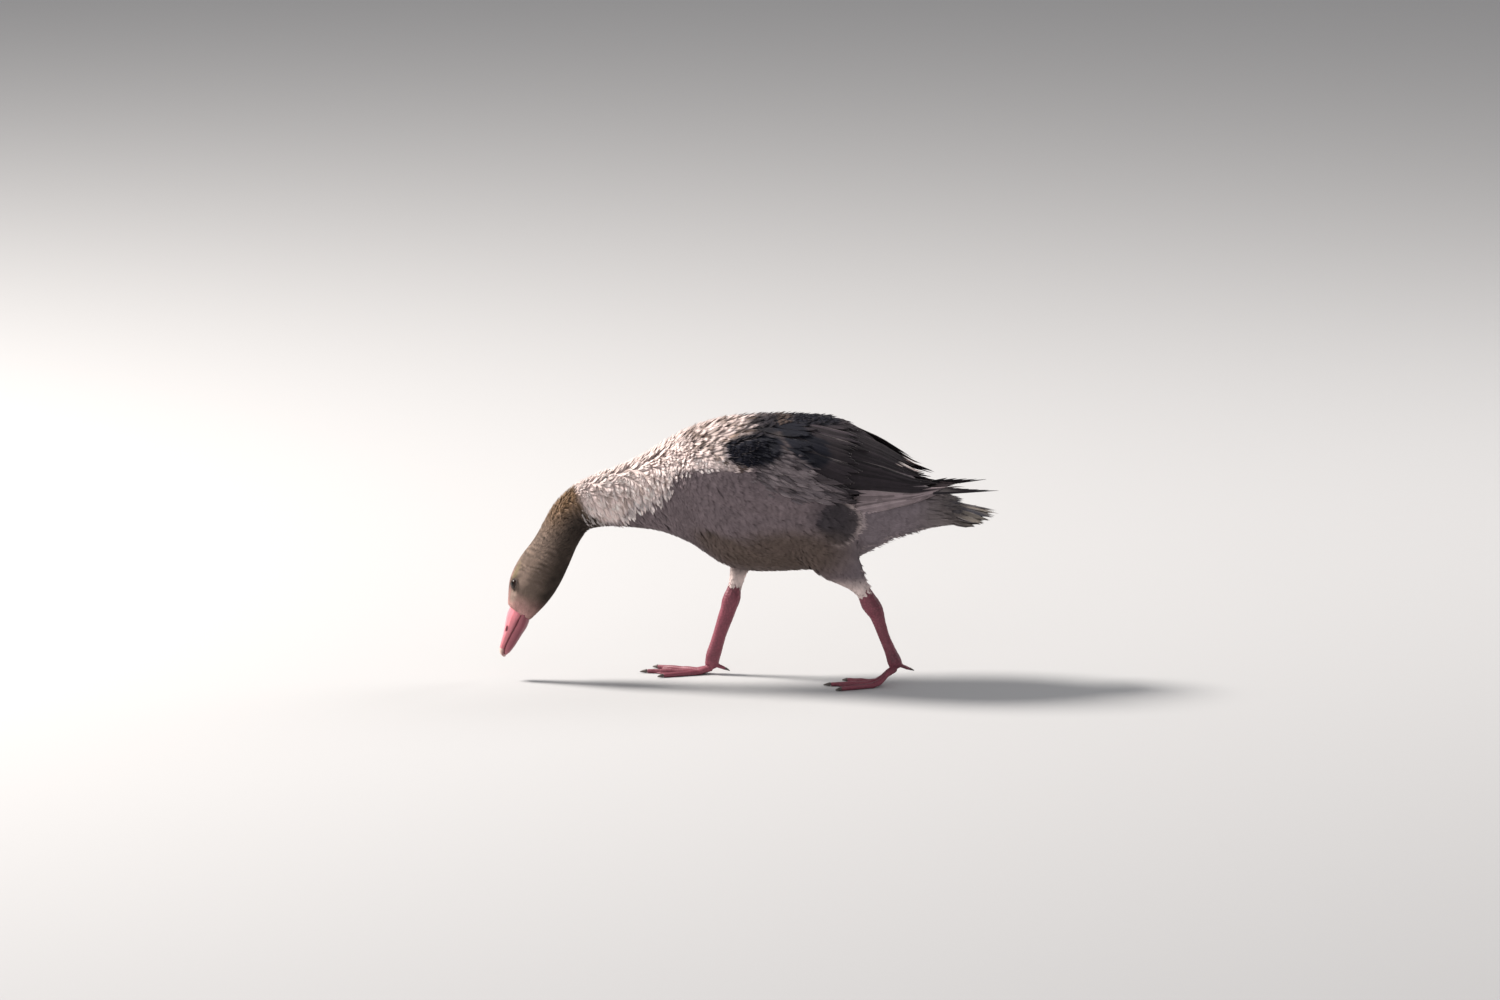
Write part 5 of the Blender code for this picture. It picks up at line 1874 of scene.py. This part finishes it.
def covert_colour(points, random):
    """Colour and fringe of the wing coverts: pale and dark streaks, brown at the rear, and the colours
    of the coat at the front."""
    x, _, z = points.T
    streak = 0.66 + 0.40 * grain(points, 16 * MM, 11) + 0.30 * random.standard_normal(len(x))
    colour = mix(rgb("covert_grey"), rgb("covert_pale"), np.clip(streak, 0, 1))
    rear = ease(x + 0.75 * (z - MIDDLE_Z - 0.03), 0.072, 0.108)
    colour = mix(colour, rgb("tertial") * 1.25, rear)
    low = ease(z, MIDDLE_Z + 0.016, MIDDLE_Z - 0.006)
    colour = mix(colour, mix(rgb("covert_grey"), rgb("vent"), 0.45), 0.7 * low * (1 - rear))
    dark = (random.random(len(x)) < 0.12) * 0.65
    colour = mix(colour, rgb("tertial"), dark)
    top = ease(z, MIDDLE_Z + 0.066, MIDDLE_Z + 0.080)
    colour = mix(colour, rgb("mantle_brown"), 0.5 * top * (1 - rear))
    fringe = (0.35 + 0.35 * random.random(len(x))) * (1 - 0.7 * dark)
    front = ease(x + 0.30 * np.minimum(z - MIDDLE_Z - 0.04, 0), 0.008, -0.036)
    return mix(colour, plumage(points), front), fringe


def with_patches(base, fringe, placed, random):
    """Carries the slate patches over feathers laid on the wing, a little uneven from one to the next.
    Returns the colour and the fringe at every point of every feather."""
    jitter = np.array((2.6, 0, 1.4)) * MM * random.standard_normal((len(placed), 1, 3))
    share = slate_share((placed + jitter).reshape(-1, 3)).reshape(placed.shape[:2])
    fleck = ellipse(placed[..., 0], placed[..., 2], FLECK) * (random.random((len(placed), 1)) < 0.6)
    colour = mix(mix(base[:, None], rgb("slate"), share), rgb("cream"), fleck)
    return colour, fringe[:, None] * (1 - 0.92 * share)


class GOOSE_OT_wing_coverts(bpy.types.Operator):
    """Narrow streaked feathers over the front of both folded wings"""

    bl_idname = "goose.wing_coverts"
    bl_label = "Wing coverts"

    def execute(self, context):
        for side in SIDES:
            name = f"wing_coverts_{side}"
            random = random_for(name)
            form = WingForm(side)
            x, turn = scattered_turns(form, random, (-0.050, 0.125), (-6, 74), COVERT_GAP)
            points = form.point(x, turn)
            height = points[:, 2] - MIDDLE_Z
            rear_limit = 0.098 - 1.35 * np.maximum(height - 0.014, 0)
            front_limit = -0.034 + 1.30 * np.maximum(height - 0.060, 0)
            keep = (x < rear_limit + 0.008 * random.standard_normal(len(x))) & (x > front_limit)
            x, turn, points = x[keep], turn[keep], points[keep]
            room = ease(points[:, 2] - covert_edge(x + 0.02), 0.004, 0.030)
            grow = (0.55 + 0.50 * ease(x, -0.04, 0.06)) * (0.55 + 0.45 * room)
            length = COVERT_LENGTH * grow * varied(random, len(x), 0.16)
            width = COVERT_WIDTH * grow * varied(random, len(x), 0.14)
            heading = covert_heading(points, random)
            end_x, end_z = x + length * np.cos(heading), points[:, 2] - length * np.sin(heading)
            keep = end_z > covert_edge(end_x) + 0.003 * random.standard_normal(len(x))
            x, turn, points = x[keep], turn[keep], points[keep]
            heading, length, width = heading[keep], length[keep], width[keep]
            lift = -3.6 * MM + 0.25 * MM * random.random(len(x))
            low = ease(end_z[keep] - covert_edge(end_x[keep]), 0.020, 0.002)
            tip_lift = 3.9 * MM + 0.4 * MM * random.random(len(x)) + 1.5 * MM * low
            tips = points + np.stack([np.cos(heading), 0 * x, -np.sin(heading)], 1) * (0.7 * length)[:, None]
            base, fringe = covert_colour(tips, random)
            spread = opened(points)
            kinds = random.integers(0, 2, len(x))
            parts = []
            for number, vane in enumerate(("covert", "plume")):
                chosen = kinds == number
                template, quads = vane_template(VANES[vane])
                placed, ups = form.lay(
                    template, x[chosen], turn[chosen], heading[chosen], length[chosen], width[chosen],
                    lift[chosen], tip_lift[chosen], COVERT_BOW,
                )
                here, edge = with_patches(base[chosen], fringe[chosen], placed, random)
                colour = shade_vanes(here, template, edge, random, 0.78, 1.04, 0.07)
                parts.append((placed, quads, template, colour, spread[chosen], ups))
            coat = join_vanes(name, parts, 0.35)
            dress(coat, bpy.data.materials["wing_feathers"], "plumage_grey", f"wing_{side}")
        return {"FINISHED"}


def finer(template, quads, cuts):
    """The same vane with its faces cut into more, for long feathers."""
    bm = bmesh.new()
    verts = [bm.verts.new(point) for point in template]
    for quad in quads:
        bm.faces.new([verts[index] for index in quad])
    bmesh.ops.subdivide_edges(bm, edges=bm.edges[:], cuts=cuts, use_grid_fill=True, smooth=0.3)
    bm.verts.index_update()
    result = np.array([v.co[:] for v in bm.verts]), np.array([[v.index for v in f.verts] for f in bm.faces])
    bm.free()
    return result


def straight_vanes(template, starts, flow, side, up, length, width, bend=0.0):
    """Lays vanes from their starts along a flow, rising by bend over their length."""
    _, along, rise = template.T
    rise = rise[None] * width[:, None] + bend * along[None] ** 2
    placed = flat_vanes(template, starts, flow, side, length, width) + up[:, None] * rise[..., None]
    return placed, np.broadcast_to(up[:, None], placed.shape)


class GOOSE_OT_flight_feathers(bpy.types.Operator):
    """Primaries, secondaries, tertials and scapulars of both wings"""

    bl_idname = "goose.flight_feathers"
    bl_label = "Flight feathers"

    def execute(self, context):
        for side in SIDES:
            name = f"flight_feathers_{side}"
            random = random_for(name)
            form = WingForm(side)
            parts = [self.primaries(form, random)]
            for row in FLIGHT_ROWS.values():
                parts.append(self.row(form, row, random))
            piece = join_vanes(name, parts, 0.25)
            dress(piece, bpy.data.materials["wing_feathers"], "plumage_flight", f"wing_tip_{side}")
        return {"FINISHED"}

    @staticmethod
    def row(form, row, random):
        share = np.linspace(0, 1, row.count)

        def between(pair):
            return pair[0] + (pair[1] - pair[0]) * share

        x = between(row.x) + 4.0 * MM * random.standard_normal(row.count)
        turn = np.radians(between(row.turn) + 0.8 * random.standard_normal(row.count))
        heading = np.radians(between(row.heading) + 2.2 * random.standard_normal(row.count))
        length = between(row.length) * MM * varied(random, row.count, 0.07)
        width = row.width * MM * varied(random, row.count, 0.08)
        lift = (between(row.lift) - 1.2) * MM
        template, quads = finer(*vane_template(VANES["long"]), 1)
        placed, ups = form.lay(template, x, turn, heading, length, width, lift, 1.6 * MM, row.bow)
        if row.colour:
            base = rgb(row.colour)[None]
        else:
            base, _ = covert_colour(form.point(x + 0.62 * length, turn), random)
        base = base * np.exp(0.30 * random.standard_normal((row.count, 1)))
        fringe = np.clip(row.fringe * varied(random, row.count, 0.5), 0, 0.9)
        base, fringe = with_patches(base, fringe, placed, random)
        colour = shade_vanes(base, template, fringe, random, 0.85, 1.0, 0.07)
        return placed, quads, template, colour, opened(form.point(x, turn)), ups

    @staticmethod
    def primaries(form, random):
        """A narrow stack that ends in the wing's tip, each feather a little shorter than the last."""
        points, hand = node_points(f"wing_tip_{form.side}"), form.hand
        end = points[points[:, 0] > points[:, 0].max() - 1.5 * MM].mean(0)
        number = np.arange(PRIMARIES)
        x = 0.202 + 0.003 * number
        starts = form.point(x, np.radians(7.0 + 1.6 * number), -15 * MM + 0.4 * MM * number)
        tips = end + np.stack([-0.0120 * number, -hand * 0.5 * MM * number, 0.55 * MM * number], 1)
        flow, length = unit(tips - starts), lengths(tips - starts)
        up = unit(np.cross(flow, np.array((0, 0, 1.0))) * -hand)
        side_way = np.cross(flow, up)
        template, quads = finer(*vane_template(VANES["blade"]), 2)
        width = np.full(PRIMARIES, PRIMARY_WIDTH)
        placed, ups = straight_vanes(template, starts, flow, side_way, up, length, width, PRIMARY_BEND)
        base = rgb("primary") * varied(random, (PRIMARIES, 1), 0.25)
        colour = shade_vanes(base[:, None], template, 0.55, random, 1.0, 1.0)
        return placed, quads, template, colour, opened(starts), ups


class GOOSE_OT_tail(bpy.types.Operator):
    """Tail feathers in a rounded fan, with ragged ends"""

    bl_idname = "goose.tail"
    bl_label = "Tail"

    FEATHERS = 20
    # Each layer of the fan: how much shorter it is in millimetres, how far down it starts, how pale it is.
    LAYERS = ((0, 0.0, 0.0), (4, 0.25, 0.0), (8, 0.45, 0.2), (14, 0.62, 0.5))

    def execute(self, context):
        random = random_for("tail_feathers")
        low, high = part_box("tail")
        root = centre_between("trunk", "tail")
        half_width = (high.y - low.y) / 2
        count = self.FEATHERS
        share = np.linspace(-1, 1, count)
        order = np.abs(share)
        parts = []
        for short, drop, pale in self.LAYERS:
            tip_x = high.x + (3 - short) * MM - 0.015 * order**2 + 3.5 * MM * random.standard_normal(count)
            tip_z = low.z + (19 - 5 * drop) * MM - 8.5 * MM * order + 0.9 * MM * random.standard_normal(count)
            tips = np.stack([tip_x, (half_width - 6 * MM) * share, tip_z], 1)
            fallen = drop * (high.z - low.z - 7 * MM)
            start_z = high.z - 3 * MM - fallen - 7 * MM * order**2 * (1 - drop)
            starts = np.stack([root[0] - 0.006 + 0 * share, 15 * MM * share, start_z], 1)
            length, flow = lengths(tips - starts), unit(tips - starts)
            out = np.stack([0 * share, 0.50 * np.sign(share) * order, 1 + 0 * share], 1)
            side = unit(np.cross(flow, out))
            up = np.cross(side, flow)
            template, quads = finer(*vane_template(VANES["plume"]), 1)
            width = TAIL_WIDTH * varied(random, count, 0.12)
            placed, ups = straight_vanes(template, starts, flow, side, up, length, width)
            tone = varied(random, (count, 1), 0.10)
            olive = mix(rgb("tail_olive") * 1.15, rgb("vent"), 0.6 * pale) * tone
            dark = (random.random(count) < 0.62 - 0.8 * pale) * (0.95 - 0.5 * random.random(count))
            colour = mix(olive, rgb("tail_grey"), dark)[:, None]
            ends = mix(mix(colour, rgb("vent"), 0.25), colour, ease(template[None, :, 1], 0.25, 0.65))
            colour = shade_vanes(ends, template, 0.9, random, 0.95, 1.0, 0.05)
            parts.append((placed, quads, template, colour, opened(starts), ups))
        piece = join_vanes("tail_feathers", parts, 0.3)
        dress(piece, bpy.data.materials["wing_feathers"], "plumage_pale", "tail")
        return {"FINISHED"}


# ---- studio

# Place, size, power and colour of each lamp, then the sky, the floor and the camera. Places in metres,
# elevation in degrees, lens and sensor in millimetres.
LAMPS = {
    "key": ((-4.06, 1.26, 4.12), 1.7, 655, (1.0, 0.95, 0.89)),
    "fill": ((-0.8, -4.2, 1.9), 3.4, 27, (0.985, 0.985, 1.0)),
    "rim": ((3.0, 1.6, 2.2), 2.2, 48, (1.0, 0.98, 0.96)),
}
SKY_COLOUR, SKY_STRENGTH = (0.965, 0.97, 1.0, 1), 0.30
FLOOR_COLOUR, FLOOR_SIZE = (0.50, 0.50, 0.51, 1), 30
CAMERA_DISTANCE, CAMERA_ELEVATION = 12.0, 9.5
CAMERA_AIM = (2 * MM, 0, 0.2227)
LENS, SENSOR = 236, 36


class GOOSE_OT_studio(bpy.types.Operator):
    """Pale floor, soft lights and the camera"""

    bl_idname = "goose.studio"
    bl_label = "Studio"

    def execute(self, context):
        self.floor()
        for name, settings in LAMPS.items():
            self.light(name, *settings)
        world = bpy.data.worlds.new("studio")
        world.use_nodes = True
        sky = world.node_tree.nodes["Background"]
        sky.inputs["Color"].default_value = SKY_COLOUR
        sky.inputs["Strength"].default_value = SKY_STRENGTH
        context.scene.world = world
        context.scene.view_settings.view_transform = "Standard"
        self.camera(context)
        return {"FINISHED"}

    @staticmethod
    def floor():
        bm = bmesh.new()
        bmesh.ops.create_grid(bm, x_segments=1, y_segments=1, size=FLOOR_SIZE)
        floor = piece_from("floor", bm)
        floor.location.z = FLOOR_Z - 0.1 * MM
        material, _, bsdf = new_material("pale_floor", Roughness=0.9)
        bsdf.inputs["Base Color"].default_value = FLOOR_COLOUR
        floor.data.materials.append(material)

    @staticmethod
    def light(name, place, size, power, colour):
        lamp = bpy.data.lights.new(name, "AREA")
        lamp.shape = "DISK"
        lamp.size = size
        lamp.energy = power
        lamp.color = colour
        holder = bpy.data.objects.new(name, lamp)
        bpy.context.scene.collection.objects.link(holder)
        holder.location = place
        aim = Vector((0, 0, MIDDLE_Z)) - holder.location
        holder.rotation_euler = aim.to_track_quat("-Z", "Y").to_euler()

    @staticmethod
    def camera(context):
        elevation = math.radians(CAMERA_ELEVATION)
        lens = bpy.data.cameras.new("camera")
        lens.lens = LENS
        lens.sensor_width = SENSOR
        lens.clip_end = 60
        camera = bpy.data.objects.new("camera", lens)
        context.scene.collection.objects.link(camera)
        away = Vector((0, -math.cos(elevation), math.sin(elevation)))
        camera.location = Vector(CAMERA_AIM) + away * CAMERA_DISTANCE
        camera.rotation_euler = (math.pi / 2 - elevation, 0, 0)
        context.scene.camera = camera


# ---- the add-on


class GOOSE_PT_panel(bpy.types.Panel):
    """Lists the goose's pieces in the sidebar"""

    bl_idname = "GOOSE_PT_panel"
    bl_label = "Grazing Goose"
    bl_space_type = "VIEW_3D"
    bl_region_type = "UI"
    bl_category = "Goose"

    def draw(self, context):
        for operator in PIECES:
            self.layout.operator(operator.bl_idname)
        for group in (context.scene.goose_sizes, context.scene.goose_colours):
            for name in group.bl_rna.properties.keys():
                if name not in ("rna_type", "name"):
                    self.layout.prop(group, name)


PIECES = (
    GOOSE_OT_skin,
    GOOSE_OT_bill,
    GOOSE_OT_eyes,
    GOOSE_OT_legs,
    GOOSE_OT_head_coat,
    GOOSE_OT_neck_coat,
    GOOSE_OT_body_coat,
    GOOSE_OT_wing_coverts,
    GOOSE_OT_flight_feathers,
    GOOSE_OT_tail,
    GOOSE_OT_studio,
)


def register():
    for group in (GooseColours, GooseSizes, *PIECES, GOOSE_PT_panel):
        bpy.utils.register_class(group)
    bpy.types.Scene.goose_colours = PointerProperty(type=GooseColours)
    bpy.types.Scene.goose_sizes = PointerProperty(type=GooseSizes)


def unregister():
    del bpy.types.Scene.goose_sizes
    del bpy.types.Scene.goose_colours
    for group in (GOOSE_PT_panel, *reversed(PIECES), GooseSizes, GooseColours):
        bpy.utils.unregister_class(group)


def main():
    register()
    build_vane_group()
    build_mottle_group()
    build_pebble_group()
    feather_material("soft_feathers", 0.85, 34.0, 0.030, 0.16, 0.1, 0.25)
    feather_material("wing_feathers", 0.62, 90.0, 0.040, 0.13, 0.012, 0.30, 0.03)
    for operator in PIECES:
        group, name = operator.bl_idname.split(".")
        getattr(getattr(bpy.ops, group), name)()
    bpy.context.view_layer.update()


if __name__ == "__main__":
    main()
